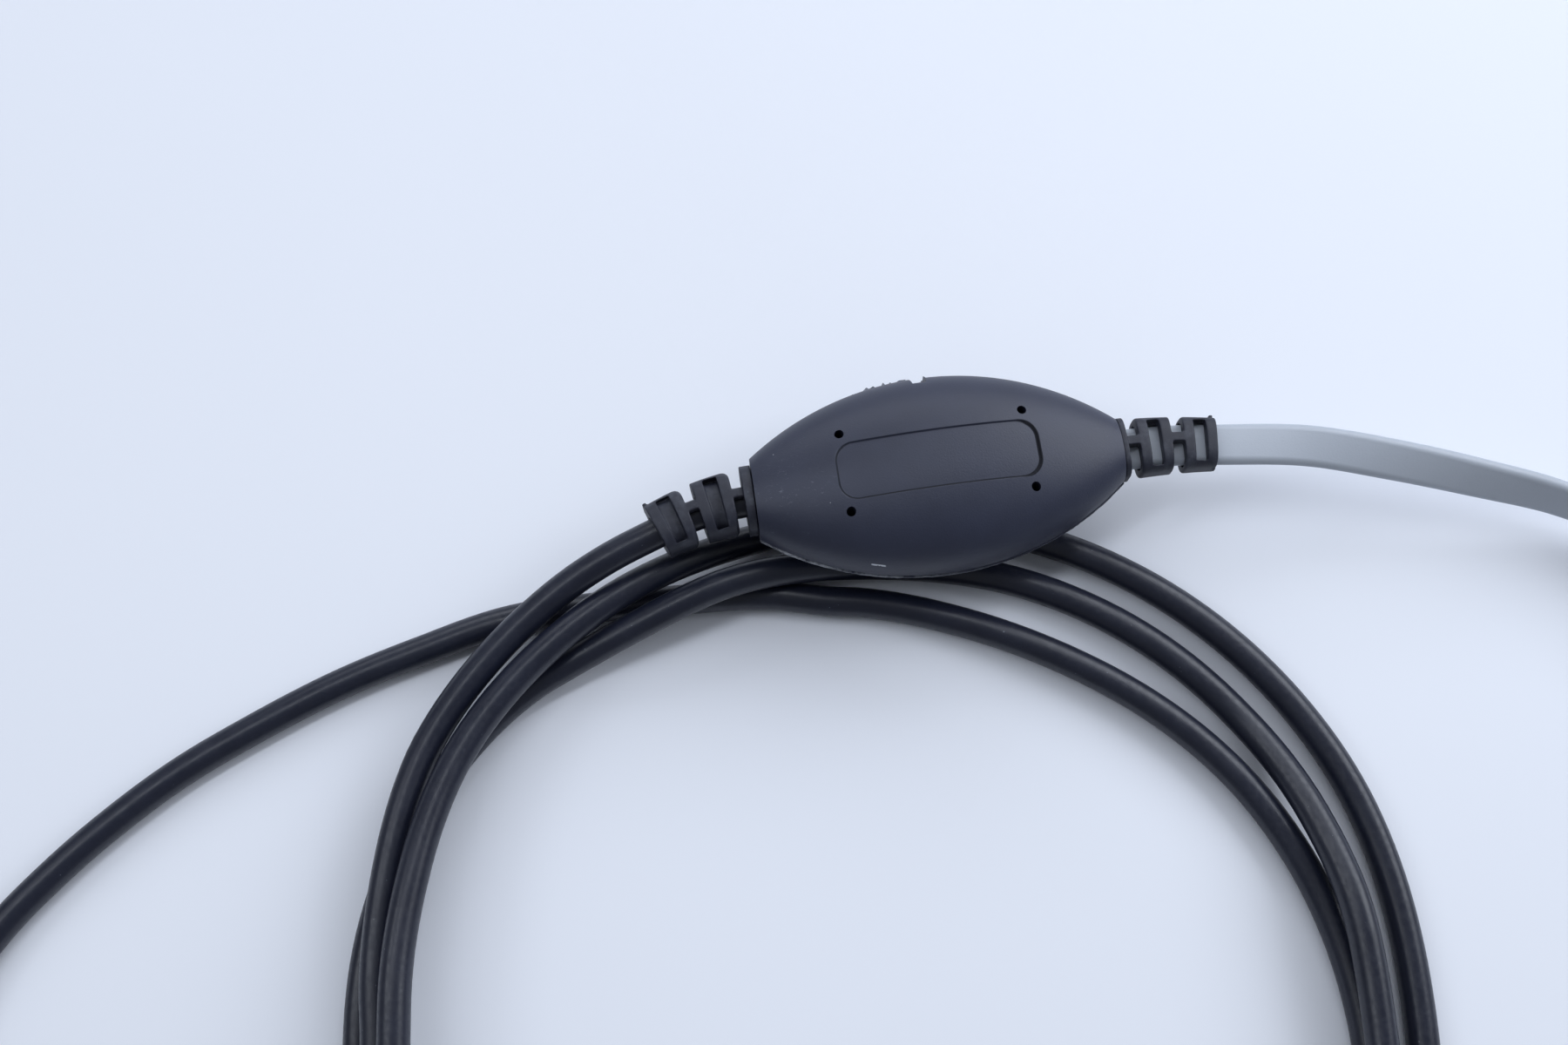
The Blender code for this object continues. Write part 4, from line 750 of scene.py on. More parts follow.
def chip_finish():
    """Black body with bright tinned legs: the legs lie outside the body's width."""
    finish = Finish("chip_black")
    where = finish.place()
    y = finish.axis(where, "Y")
    grain = finish.noise(where, 0.00018, 3, 0.6)
    legs = finish.ramp(abs(y), 0.00321, 0.00324)
    skin = finish.mix(grain, (0.014, 0.014, 0.016), (0.030, 0.030, 0.034))
    skin = finish.mix(legs, skin, TIN)
    return finish.set(
        Base_Color=skin, Metallic=legs, Roughness=0.46 - legs * 0.16 + grain * 0.1,
        Normal=finish.bump(grain, 0.00003),
    )


def resistor_finish(middle, reach):
    """A black film body between two tinned ends."""
    finish = Finish("resistor_black")
    where = finish.place()
    x = finish.axis(where, "X")
    grain = finish.noise(where, 0.00015, 3, 0.6)
    ends = finish.ramp(abs(x - middle), reach - 0.00002, reach + 0.00002)
    skin = finish.mix(grain, (0.012, 0.012, 0.014), (0.035, 0.035, 0.040))
    skin = finish.mix(ends, skin, (0.66, 0.66, 0.66))
    return finish.set(
        Base_Color=skin, Metallic=ends, Roughness=0.34 + grain * 0.2, Normal=finish.bump(grain, 0.00002)
    )


def capacitor_finish(middle, top):
    """A dark blue sleeve with a pale stripe, and a bare scored can top."""
    finish = Finish("capacitor_sleeve")
    where = finish.place()
    x, y, z = finish.axes(where)
    clouds = finish.noise(where, 0.0016, 3)
    stripe = finish.ramp(y, 0.0011, 0.00125) * finish.ramp(abs(x - middle), 0.0009, 0.0008)
    can = finish.ramp(z, top - 0.00005, top - 0.00002)
    score = finish.ramp(abs(x - middle), 0.00012, 0.00005) + finish.ramp(abs(y), 0.00012, 0.00005)
    skin = finish.mix(clouds, (0.020, 0.030, 0.105), (0.032, 0.046, 0.150))
    skin = finish.mix(stripe, skin, (0.55, 0.58, 0.62))
    skin = finish.mix(can, skin, (0.66, 0.67, 0.68))
    return finish.set(
        Base_Color=skin, Metallic=can, Roughness=0.28 + clouds * 0.12,
        Normal=finish.bump(clouds * 0.2 - score * can, 0.00005),
    )


def wire_finish(name, base):
    """Coloured insulation with a soft waxy skin."""
    finish = Finish(name)
    where = finish.place()
    clouds = finish.noise(where, 0.0012, 3, 0.6)
    skin = finish.mix(clouds, tint(base, 0.82), tint(base, 1.08))
    return finish.set(Base_Color=skin, Roughness=0.34 + clouds * 0.16, Normal=finish.bump(clouds, 0.00003))


def make_object(name, shape):
    """An object at the origin from a closed bmesh."""
    bmesh.ops.recalc_face_normals(shape, faces=shape.faces)
    mesh = bpy.data.meshes.new(name)
    shape.to_mesh(mesh)
    shape.free()
    made = bpy.data.objects.new(name, mesh)
    bpy.context.scene.collection.objects.link(made)
    return made


def settle(target):
    """Turns an object's modifiers into its plain mesh."""
    graph = bpy.context.evaluated_depsgraph_get()
    mesh = bpy.data.meshes.new_from_object(target.evaluated_get(graph))
    old = target.data
    target.modifiers.clear()
    target.data = mesh
    bpy.data.meshes.remove(old)
    return target


def combine(target, shape, operation="DIFFERENCE"):
    """Cuts a closed bmesh out of an object, or joins it on."""
    tool = make_object("tool", shape)
    modifier = target.modifiers.new("combine", "BOOLEAN")
    modifier.operation = operation
    modifier.solver = "MANIFOLD"
    modifier.object = tool
    settle(target)
    tool_mesh = tool.data
    bpy.data.objects.remove(tool)
    bpy.data.meshes.remove(tool_mesh)


def shape_of(target):
    """An object's mesh as a bmesh, with the object removed."""
    shape = bmesh.new()
    shape.from_mesh(target.data)
    mesh = target.data
    bpy.data.objects.remove(target)
    bpy.data.meshes.remove(mesh)
    return shape


def dress(piece, body, material, nodes=(), sharp=35.0):
    """Gives a finished piece its material and shading and its body, and hides the nodes that it stands for.
    """
    piece.data.materials.clear()
    piece.data.materials.append(material)
    if piece.type == "MESH":
        piece.data.shade_smooth()
        piece.data.set_sharp_from_angle(angle=math.radians(sharp))
    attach(piece, body)
    if nodes:
        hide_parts(*nodes)


def paint(material, *names):
    """A CAD node that keeps its shape takes a material."""
    for name in names:
        for slot in NODES[name].material_slots:
            slot.material = material


def numbered(name, count):
    """The names of like nodes."""
    return [f"{name}_{index}" for index in range(1, count + 1)]


def bevel(target, width):
    """Rounds an object's sharp edges."""
    modifier = target.modifiers.new("bevel", "BEVEL")
    modifier.width = width
    modifier.segments = 3
    modifier.limit_method = "ANGLE"
    modifier.angle_limit = math.radians(40)
    modifier.use_clamp_overlap = True
    settle(target)


def loft(rings, closed=False):
    """A solid through rings of equally many points, capped at both ends, or closed on itself."""
    shape = bmesh.new()
    rows = [[shape.verts.new(point) for point in ring] for ring in rings]
    pairs = list(zip(rows, rows[1:]))
    if closed:
        pairs.append((rows[-1], rows[0]))
    else:
        shape.faces.new(rows[0])
        shape.faces.new(rows[-1])
    for first, second in pairs:
        for index in range(len(first)):
            after = (index + 1) % len(first)
            shape.faces.new((first[index], first[after], second[after], second[index]))
    bmesh.ops.recalc_face_normals(shape, faces=shape.faces)
    return shape


def prism(outline, low, high):
    """A solid with an outline of (x, y) points between two heights."""
    return loft([[Vector((x, y, z)) for x, y in outline] for z in (low, high)])


def box(x, y, z):
    """A box between a low and a high place on each axis."""
    return prism([(x[0], y[0]), (x[1], y[0]), (x[1], y[1]), (x[0], y[1])], *z)


def section_at(x, section):
    """A section's (y, z) points at a place along the X axis."""
    return [Vector((x, y, z)) for y, z in section]


def bar(section, start, stop):
    """A solid with a section of (y, z) points between two places along the X axis."""
    return loft([section_at(start, section), section_at(stop, section)])


def circle(radius, sides):
    """Points of a circle about the origin."""
    angles = [math.tau * step / sides for step in range(sides)]
    return [(radius * math.cos(angle), radius * math.sin(angle)) for angle in angles]


def turned(profile):
    """A closed outline of (x, radius) points turned about the X axis."""
    return loft([section_at(x, circle(radius, TURNED_SIDES)) for x, radius in profile], closed=True)


def upright(x, y, low, high, radius):
    """An upright round solid at a place."""
    return prism([(x + dx, y + dy) for dx, dy in circle(radius, ROUND_SIDES)], low, high)


def oval(wide, tall, power, sides):
    """(y, z) points of a superellipse of half sizes, round at power 2 and squarer above it."""
    points = []
    for step in range(sides):
        angle = math.tau * step / sides
        across = math.copysign(abs(math.cos(angle)) ** (2 / power), math.cos(angle))
        up = math.copysign(abs(math.sin(angle)) ** (2 / power), math.sin(angle))
        points.append((wide * across, tall * up))
    return points


def station_value(table, at):
    """A smooth value between chosen stations: a cubic with its slope at each station from its neighbours."""
    last = len(table) - 1
    index = 0
    while index < last - 1 and table[index + 1][0] < at:
        index += 1

    def slope(place):
        before, after = table[max(place - 1, 0)], table[min(place + 1, last)]
        return (after[1] - before[1]) / (after[0] - before[0])

    (start, first), (stop, second) = table[index], table[index + 1]
    run = stop - start
    share = (at - start) / run
    rest = 1 - share
    ends = first * (1 + 2 * share) * rest**2 + second * (3 - 2 * share) * share**2
    return ends + run * share * rest * (slope(index) * rest - slope(index + 1) * share)


def smooth_curve(points):
    """A smooth curve through points, as a dense list: a centripetal spline."""
    ends = [2 * points[0] - points[1]] + points + [2 * points[-1] - points[-2]]
    dense = []
    for corners in zip(ends, ends[1:], ends[2:], ends[3:]):
        knots = [0.0]
        for first, second in zip(corners, corners[1:]):
            knots.append(knots[-1] + math.sqrt((second - first).length))
        for step in range(CURVE_STEPS):
            at = knots[1] + (knots[2] - knots[1]) * step / CURVE_STEPS
            outer = [between(corners, knots, at, index, 1) for index in range(3)]
            inner = [between(outer, knots, at, index, 2) for index in range(2)]
            dense.append(inner[0].lerp(inner[1], step / CURVE_STEPS))
    dense.append(points[-1].copy())
    return dense


def between(corners, knots, at, index, span):
    """A point on the way from one corner to the next, by where it lies between two knots."""
    share = (at - knots[index]) / (knots[index + span] - knots[index])
    return corners[index].lerp(corners[index + 1], share)


def spaced(dense, spacing):
    """Points at an even spacing along a dense curve, with both of its ends."""
    lengths = [0.0]
    for first, second in zip(dense, dense[1:]):
        lengths.append(lengths[-1] + (second - first).length)
    count = max(2, round(lengths[-1] / spacing))
    points = []
    index = 0
    for step in range(count + 1):
        want = lengths[-1] * step / count
        while index < len(dense) - 2 and lengths[index + 1] < want:
            index += 1
        share = (want - lengths[index]) / (lengths[index + 1] - lengths[index])
        points.append(dense[index].lerp(dense[index + 1], min(share, 1.0)))
    return points


def length_of(points):
    return sum((second - first).length for first, second in zip(points, points[1:]))


def over_table(points, table):
    return [Vector((x, y, table + height)) for x, y, height in points]


def coil_point(angle, table):
    """A point of the coil's centreline, which is never lower than the cord lies on the table."""
    reach = station_value(COIL_REACH, angle)
    level = max(station_value(COIL_LEVEL, angle), CORD_ON_TABLE)
    way = math.radians(angle)
    x, y = COIL_CENTRE
    return Vector((x + reach * math.cos(way), y + reach * math.sin(way), table + level))


def relief_bend(end, cords):
    """The angle that a relief turns through, and its length outside the pod."""
    if end < 0:
        block = cords.round_slot + 2 * cords.round_ring + cords.round_window
        return cords.round_turn, CLEARANCE + cords.round_flange + 2 * block
    block = cords.flat_slot + 2 * cords.flat_ring + cords.flat_window
    return cords.flat_turn, CLEARANCE + cords.flat_flange + 2 * block


def relief_place(end, along, side, up, pod, cords):
    """A place in a strain relief: along its bent axis from the pod's end, to the back and up."""
    angle, length = relief_bend(end, cords)
    radius = length / angle
    if along <= 0:
        out, across = along, side
    else:
        out = (radius + side) * math.sin(along / radius)
        across = (radius + side) * math.cos(along / radius) - radius
    return Vector((end * (pod.length / 2 + out), across, up))


def relief_axis(end, inside, pod, cords):
    """Points of a cord's centreline from inside the pod to the end of its relief."""
    length = relief_bend(end, cords)[1]
    stations = [-inside, -inside / 2]
    stations += [length * step / RELIEF_AXIS_STEPS for step in range(RELIEF_AXIS_STEPS + 1)]
    return [relief_place(end, along, 0.0, 0.0, pod, cords) for along in stations]


def bulge(pod, x, round_end, flat_end, middle):
    """A size of the pod at x: a circular arc from each end up to the widest place."""
    if x < pod.widest:
        run, end = pod.length / 2 + pod.widest, round_end
    else:
        run, end = pod.length / 2 - pod.widest, flat_end
    drop = middle - end
    radius = (run * run + drop * drop) / (2 * drop)
    return middle - radius + math.sqrt(radius * radius - (x - pod.widest) ** 2)


def half_width(pod, x):
    """Half of the pod's width at x, without the fin."""
    return bulge(pod, x, pod.round_end_width / 2, pod.flat_end_width / 2, pod.width / 2)


def half_height(pod, x, side):
    """The pod's height over the seam at x, or its depth under it."""
    middle = pod.crown if side > 0 else pod.belly
    return bulge(pod, x, pod.round_end_height / 2, pod.flat_end_height / 2, middle)


def pin_places(pod):
    """The four places (x, y) of the pins."""
    for x in (-pod.pin_spacing_x / 2, pod.pin_spacing_x / 2):
        for y in (-pod.pin_spacing_y / 2, pod.pin_spacing_y / 2):
            yield pod.widest + x, y


def half_pod(pod, side, inset, base, end_inset, mesh):
    """Half of the pod as a solid, drawn in by an inset, with its flat side at base."""
    stations, steps = mesh
    start, stop = -pod.length / 2 + end_inset, pod.length / 2 - end_inset
    rings = []
    for station in range(stations + 1):
        x = start + (stop - start) * station / stations
        wide, tall = half_width(pod, x) - inset, half_height(pod, x, side) - inset
        ring = []
        for step in range(steps + 1):
            angle = math.pi * step / steps
            across = math.copysign(abs(math.cos(angle)) ** (2 / SECTION_POWER), math.cos(angle))
            z = base
            if 0 < step < steps:
                up = tall * math.sin(angle) ** (2 / SECTION_POWER)
                z = up if side > 0 else -min(up, pod.pad - inset)
            ring.append(Vector((x, wide * across, z)))
        rings.append(ring)
    return loft(rings)


def neck_openings(pod):
    """Cutters for the reliefs' necks through the pod's end walls."""
    outside, inside = pod.length / 2 + CLEARANCE, pod.length / 2 - pod.end_wall - CLEARANCE
    yield bar(circle(ROUND_NECK[0] + CLEARANCE, ROUND_SIDES), -outside, -inside)
    wide, tall = FLAT_NECK
    yield bar(oval(wide + CLEARANCE, tall + CLEARANCE, FLAT_BLOCK_POWER, ROUND_SIDES), inside, outside)


def panel_sink(pod, x, y):
    """How far the skin is sunk at a place: the panel, with a crisp step round its edge."""
    corner = pod.panel_corner
    dx = abs(x - pod.panel_place) - (pod.panel_length / 2 - corner)
    dy = abs(y) - (pod.panel_width / 2 - corner)
    if dx > 0 and dy > 0:
        past = math.hypot(dx, dy) - corner
    else:
        past = max(dx, dy) - corner
    share = min(max(0.5 - past / PANEL_STEP, 0.0), 1.0)
    return pod.panel_depth * share * share * (3 - 2 * share)


def upper_skin(pod):
    """The upper shell's outside as a solid, with close rows along the panel's edges."""
    edge = pod.panel_width / 2 - EDGE_MARGIN
    across = [CROWN_ROW * step for step in range(CROWN_ROWS)]
    across += [edge + EDGE_ROW * step for step in range(EDGE_ROWS)]
    across = sorted({round(y, 6) for y in across if y < CROWN_HALF_WIDTH}) + [CROWN_HALF_WIDTH]
    across = [-y for y in reversed(across[1:])] + across
    along = [pod.length * (step / POD_STATIONS - 0.5) for step in range(POD_STATIONS + 1)]
    edge = pod.panel_length / 2 - pod.panel_corner - END_MARGIN
    for sign in (-1, 1):
        along += [pod.panel_place + sign * (edge + END_STATION * step) for step in range(END_STATIONS)]
    rings = []
    for x in sorted({round(place, 6) for place in along}):
        wide, tall = half_width(pod, x), half_height(pod, x, 1)
        start = math.acos((CROWN_HALF_WIDTH / wide) ** (SECTION_POWER / 2))
        flank = []
        for step in range(1, FLANK_STEPS + 1):
            angle = start * (1 - step / FLANK_STEPS)
            y = wide * math.cos(angle) ** (2 / SECTION_POWER)
            z = tall * max(math.sin(angle), 0.0) ** (2 / SECTION_POWER)
            flank.append((y, max(z, pod.seam / 2)))
        crown = []
        for y in reversed(across):
            up = tall * (1 - (abs(y) / wide) ** SECTION_POWER) ** (1 / SECTION_POWER)
            crown.append((y, up - panel_sink(pod, x, y)))
        rings.append(section_at(x, flank[::-1] + crown + [(-y, z) for y, z in flank]))
    return loft(rings)


def board_top(pod):
    """The height of the board's upper face."""
    return pod.seam / 2 - CLEARANCE


def make_upper_shell(pod):
    """The upper shell: hollow, with a bored boss over each pin, the sunk panel and half of the bite."""
    shell = make_object("upper_shell_moulding", upper_skin(pod))
    hollow = make_object("hollow", half_pod(pod, 1, pod.wall, -pod.wall, pod.end_wall, HOLLOW_MESH))
    for x, y in pin_places(pod):
        combine(hollow, upright(x, y, pod.seam / 2, pod.crown, BOSS_RADIUS))
    combine(shell, shape_of(hollow))
    for x, y in pin_places(pod):
        combine(shell, upright(x, y, -pod.wall, pod.crown + pod.wall, pod.pin_hole))
        combine(shell, upright(x, y, -pod.wall, POST_HEIGHT + CLEARANCE, POST_RADIUS + CLEARANCE))
    for opening in neck_openings(pod):
        combine(shell, opening)
    combine(shell, torn_notch(pod))
    dress(shell, POD, upper_finish(pod), ["upper_shell"], sharp=40)


def fin_outline(pod, side):
    """The moulding fin's edge on one side: ragged, with burrs beside the bite at the back."""
    points = []
    for step in range(FIN_STATIONS + 1):
        x = pod.length * (step / FIN_STATIONS - 0.5)
        ragged = noise.noise(Vector((x * FIN_WAVES, side * 7.0, 0.5)))
        fine = noise.noise(Vector((x * FIN_NICKS, side * 3.0, 2.5)))
        reach = pod.fin_reach * (0.75 + 0.25 * ragged + 0.20 * fine)
        if side > 0:
            for start, peak, stop, height in BURRS:
                rise = min((x - start) / (peak - start), (stop - x) / (stop - peak))
                reach += pod.burr * height * max(rise, 0.0)
        points.append((x, side * (half_width(pod, x) + reach)))
    return points


def torn_notch(pod):
    """A cutter for the bite at the back of the rim, which leans in over the seam and narrows up and down."""
    rim = half_width(pod, pod.bite_place)
    rings = []
    for z, narrowing in BITE_LEVELS:
        lean = math.tan(pod.bite_lean) * max(z, 0.0)
        ring = []
        for step in range(BITE_STEPS + 1):
            share = 2 * step / BITE_STEPS - 1
            ragged = noise.noise(Vector((share * 3.0, 1.5, z * 900)))
            depth = pod.bite_depth * (1 - 0.5 * abs(share) ** 6 + 1.2 * ragged) + lean
            ring.append(Vector((pod.bite_place + narrowing * share * pod.bite_length / 2, rim - depth, z)))
        rings.append(ring + [Vector((ring[index].x, rim + BITE_REACH, z)) for index in (-1, 0)])
    return loft(rings)


def make_lower_shell(pod):
    """The lower shell: hollow, with a shoulder and a post for each pin, the fin and half of the bite."""
    seam = -pod.seam / 2
    shell = make_object("lower_shell_moulding", half_pod(pod, -1, 0.0, seam, 0.0, LOWER_MESH))
    outline = fin_outline(pod, 1) + fin_outline(pod, -1)[::-1]
    combine(shell, prism(outline, seam - pod.fin_thickness, seam), "UNION")
    seat = board_top(pod) - BOARD_THICKNESS - CLEARANCE
    hollow = make_object("hollow", half_pod(pod, -1, pod.wall, pod.wall, pod.end_wall, HOLLOW_MESH))
    for x, y in pin_places(pod):
        combine(hollow, upright(x, y, -pod.belly, seat, SHOULDER_RADIUS))
    combine(shell, shape_of(hollow))
    for x, y in pin_places(pod):
        combine(shell, upright(x, y, seat - POST_ROOT, POST_HEIGHT, POST_RADIUS), "UNION")
    for opening in neck_openings(pod):
        combine(shell, opening)
    combine(shell, torn_notch(pod))
    dress(shell, POD, lower_finish(pod), ["lower_shell"], sharp=40)


def flat_section(cords, grow, steps):
    """(across, up) points of the flat cord's section, with half-round edges."""
    radius = cords.flat_thickness / 2 + grow
    flat = cords.flat_width / 2 - cords.flat_thickness / 2
    points = []
    for side in (1, -1):
        for step in range(steps + 1):
            angle = math.pi * step / steps - math.pi / 2 + (0 if side > 0 else math.pi)
            points.append((side * flat + radius * math.cos(angle), radius * math.sin(angle)))
    return points


def block_profile(slot, edge, end, shoulder):
    """(place, inset) pairs along a relief's block: drawn in over its slot, then out round its shoulder."""
    profile = [(slot + SECTION_GAP, shoulder), (edge, shoulder)]
    for step in range(1, SHOULDER_STEPS + 1):
        angle = math.pi / 2 * step / SHOULDER_STEPS
        profile.append((edge + shoulder * (1 - math.cos(angle)), shoulder * (1 - math.sin(angle))))
    return profile + [(end, 0.0)]


def soften(piece):
    """Rounds a piece's edges as in moulded rubber."""
    remesh = piece.modifiers.new("soften", "REMESH")
    remesh.mode = "VOXEL"
    remesh.voxel_size = RUBBER_VOXEL
    smooth = piece.modifiers.new("round", "SMOOTH")
    smooth.factor = 0.5
    smooth.iterations = 4
    settle(piece)


def bend(relief, end, pod, cords):
    """Moves a straight relief's points onto its bent axis, and turns its faces outwards again."""
    for vertex in relief.data.vertices:
        vertex.co = relief_place(end, *vertex.co, pod, cords)
    shape = bmesh.new()
    shape.from_mesh(relief.data)
    bmesh.ops.recalc_face_normals(shape, faces=shape.faces)
    shape.to_mesh(relief.data)
    shape.free()


def make_relief(name, end, pod, cords, steps, widths, blocks, power, shoulder, bore, core, tabs):
    """A strain relief: collar, neck and flange, then two blocks, softened as moulded rubber and bent.

    Each step is (length, half width, half height, power). A block is a slot, a ring, a window and a ring,
    and the widths are those of a slot, a ring and a window. The blocks have one even taper between two
    (width, height) pairs, round shoulders towards the pod, slots beside the webs and windows to the core.
    """
    slot, ring, window = widths
    inner = along = -(pod.end_wall + CLEARANCE + cords.collar)
    rings = []
    for length, wide, tall, step_power in steps:
        section = oval(wide, tall, step_power, RELIEF_SIDES)
        rings += [section_at(along, section), section_at(along + length, section)]
        along += length
    stops = [along]
    for length in 2 * (slot, ring, window, ring):
        stops.append(stops[-1] + length)
    far = stops[-1]

    def girth(place):
        share = (place - along) / (far - along)
        return [(first + (last - first) * share) / 2 for first, last in zip(*blocks)]

    # A block takes four stops: the ends of its slot, ring, window and ring.
    for start in (0, 4):
        for place, inset in block_profile(stops[start], stops[start + 1], stops[start + 4], shoulder):
            wide, tall = girth(place)
            rings.append(section_at(place, oval(wide - inset, tall, power, RELIEF_SIDES)))
    relief = make_object(name, loft(rings))
    for side, length, reach, tall in tabs:
        edge = girth(far)[0]
        across = sorted((side * (edge - TAB_ROOT), side * (edge + reach)))
        combine(relief, box((far - length, far), across, (-tall, tall)), "UNION")
    combine(relief, bar(bore, inner - cords.collar, far + cords.collar))
    for start in (0, 4):
        for side in (-1, 1):
            across = sorted((cords.web_back + side * cords.web / 2, side * CUT_REACH))
            combine(relief, box(stops[start:start + 2], across, (-CUT_REACH, CUT_REACH)))
        opening = girth(stops[start + 3])[0] - cords.side_bar
        through = box(stops[start + 2:start + 4], (-opening, opening), (-CUT_REACH, CUT_REACH))
        cutter = make_object("window", through)
        combine(cutter, bar(core, stops[start], stops[start + 4]))
        combine(relief, shape_of(cutter))
    soften(relief)
    bend(relief, end, pod, cords)
    return relief


def make_reliefs(pod, cords):
    """The two reliefs, with their flanges a fine gap from the pod."""
    neck, nearer = pod.end_wall + CLEARANCE + FINE_CLEARANCE, CLEARANCE - FINE_CLEARANCE
    material = rubber("relief_rubber", cords)
    piece = make_relief(
        "round_cord_relief_moulding", -1, pod, cords,
        steps=(
            (cords.collar, *ROUND_COLLAR, 2), (neck, *ROUND_NECK, 2),
            (cords.round_flange + nearer, *ROUND_FLANGE, ROUND_BLOCK_POWER),
        ),
        widths=(cords.round_slot, cords.round_ring, cords.round_window),
        blocks=ROUND_BLOCKS, power=ROUND_BLOCK_POWER, shoulder=ROUND_SHOULDER,
        bore=circle(cords.round_diameter / 2 + CLEARANCE, ROUND_SIDES), core=oval(*ROUND_CORE, ROUND_SIDES),
        tabs=ROUND_TABS,
    )
    dress(piece, POD, material, ["round_cord_relief"], sharp=60)
    piece = make_relief(
        "flat_cord_relief_moulding", 1, pod, cords,
        steps=(
            (cords.collar, *FLAT_COLLAR, FLAT_BLOCK_POWER), (neck, *FLAT_NECK, FLAT_BLOCK_POWER),
            (cords.flat_flange + nearer, *FLAT_FLANGE, FLAT_BLOCK_POWER),
        ),
        widths=(cords.flat_slot, cords.flat_ring, cords.flat_window),
        blocks=FLAT_BLOCKS, power=FLAT_BLOCK_POWER, shoulder=FLAT_SHOULDER,
        bore=flat_section(cords, CLEARANCE, BORE_EDGE_STEPS),
        core=oval(FLAT_CORE_HALF_WIDTH, cords.window_floor, FLAT_CORE_POWER, ROUND_SIDES),
        tabs=FLAT_TABS,
    )
    dress(piece, POD, material, ["flat_cord_relief"], sharp=60)


def round_plug_length(plugs):
    return plugs.boot_length + CLEARANCE + plugs.grip_length + plugs.sleeve_length


def round_plug_level(plugs, stage):
    """The height of the round plug's axis, where its grip lies on the table."""
    return stage.table + LYING_LEVEL + plugs.lift + plugs.grip_radius


def modular_level(plugs, stage):
    """The height of the modular plug's middle, where it lies on its side."""
    return stage.table + LYING_LEVEL + plugs.modular_lift + plugs.modular_width / 2


def make_round_cord(pod, cords, plugs, stage):
    """The round cord from inside the pod through its loops to its plug, as one curve."""
    first, last = COIL_REACH[0][0], COIL_REACH[-1][0]
    steps = math.ceil((last - first) / COIL_STEP_DEG)
    coil = [coil_point(first + (last - first) * step / steps, stage.table) for step in range(steps + 1)]
    rear = Vector((*ROUND_PLUG_REAR, round_plug_level(plugs, stage)))
    depth = round_plug_length(plugs) - SHROUD_DEPTH - INSULATOR_LENGTH - WIRED_LENGTH
    inside = Vector((0, -depth, 0))
    route = relief_axis(-1, ROUND_CORD_INSIDE, pod, cords) + over_table(LEAD_POINTS, stage.table) + coil
    route += over_table(TAIL_POINTS, stage.table) + [rear, rear + inside / 2, rear + inside]
    points = spaced(smooth_curve(route), CORD_SPACING)
    curve = bpy.data.curves.new("round_cord", "CURVE")
    curve.dimensions = "3D"
    curve.bevel_depth = cords.round_diameter / 2
    curve.bevel_resolution = 10
    curve.use_fill_caps = True
    spline = curve.splines.new("POLY")
    spline.points.add(len(points) - 1)
    for index, (place, point) in enumerate(zip(spline.points, points)):
        place.co = (*point, 1.0)
        place.radius = 1.0 + CORD_UNEVENNESS * noise.noise(Vector((index * 0.11, 3.0, 7.0)))
    cord = bpy.data.objects.new("round_cord", curve)
    bpy.context.scene.collection.objects.link(cord)
    stretches = ["round_cord_lead", "round_cord_coil", "round_cord_tail"]
    dress(cord, POD, round_jacket(cords), stretches)
    return cord, points


def make_flat_cord(pod, cords, plugs, stage):
    """The flat cord, swept along its route while it turns from lying flat to standing on edge."""
    rear = Vector((*MODULAR_REAR, modular_level(plugs, stage)))
    inside = Vector((0, -(plugs.modular_cavity - CLEARANCE), 0))
    route = relief_axis(1, FLAT_CORD_INSIDE, pod, cords) + over_table(FLAT_POINTS, stage.table)
    points = spaced(smooth_curve(route + [rear, rear + inside]), FLAT_CORD_SPACING)
    length = -(FLAT_CORD_INSIDE + relief_bend(1, cords)[1])
    section = flat_section(cords, 0.0, FLAT_EDGE_STEPS)
    rings = []
    for index, point in enumerate(points):
        before, after = points[max(index - 1, 0)], points[min(index + 1, len(points) - 1)]
        length += (point - before).length
        way = (after - before).normalized()
        level = Vector((0, 0, 1)).cross(way).normalized()
        place = min(max(length, FLAT_TWIST[0][0]), FLAT_TWIST[-1][0])
        spin = Matrix.Rotation(math.radians(station_value(FLAT_TWIST, place)), 3, way)
        across, up = spin @ level, spin @ way.cross(level)
        rings.append([point + across * x + up * y for x, y in section])
    cord = make_object("flat_cord_jacket", loft(rings))
    dress(cord, POD, flat_jacket(cords), ["flat_cord"], sharp=60)
    return cord, points


def plug_frame(rear, length, height):
    """A plug's frame at its nose: its X is the way the plug goes in, its Y is up and its Z faces the coil."""
    turned_by = Matrix(((0, 0, -1), (-1, 0, 0), (0, 1, 0))).to_4x4()
    return Matrix.Translation((rear[0], rear[1] - length, height)) @ turned_by


def put(piece, matrix):
    """Moves a piece's mesh into place, with the object left at the origin."""
    piece.data.transform(matrix)
    return piece


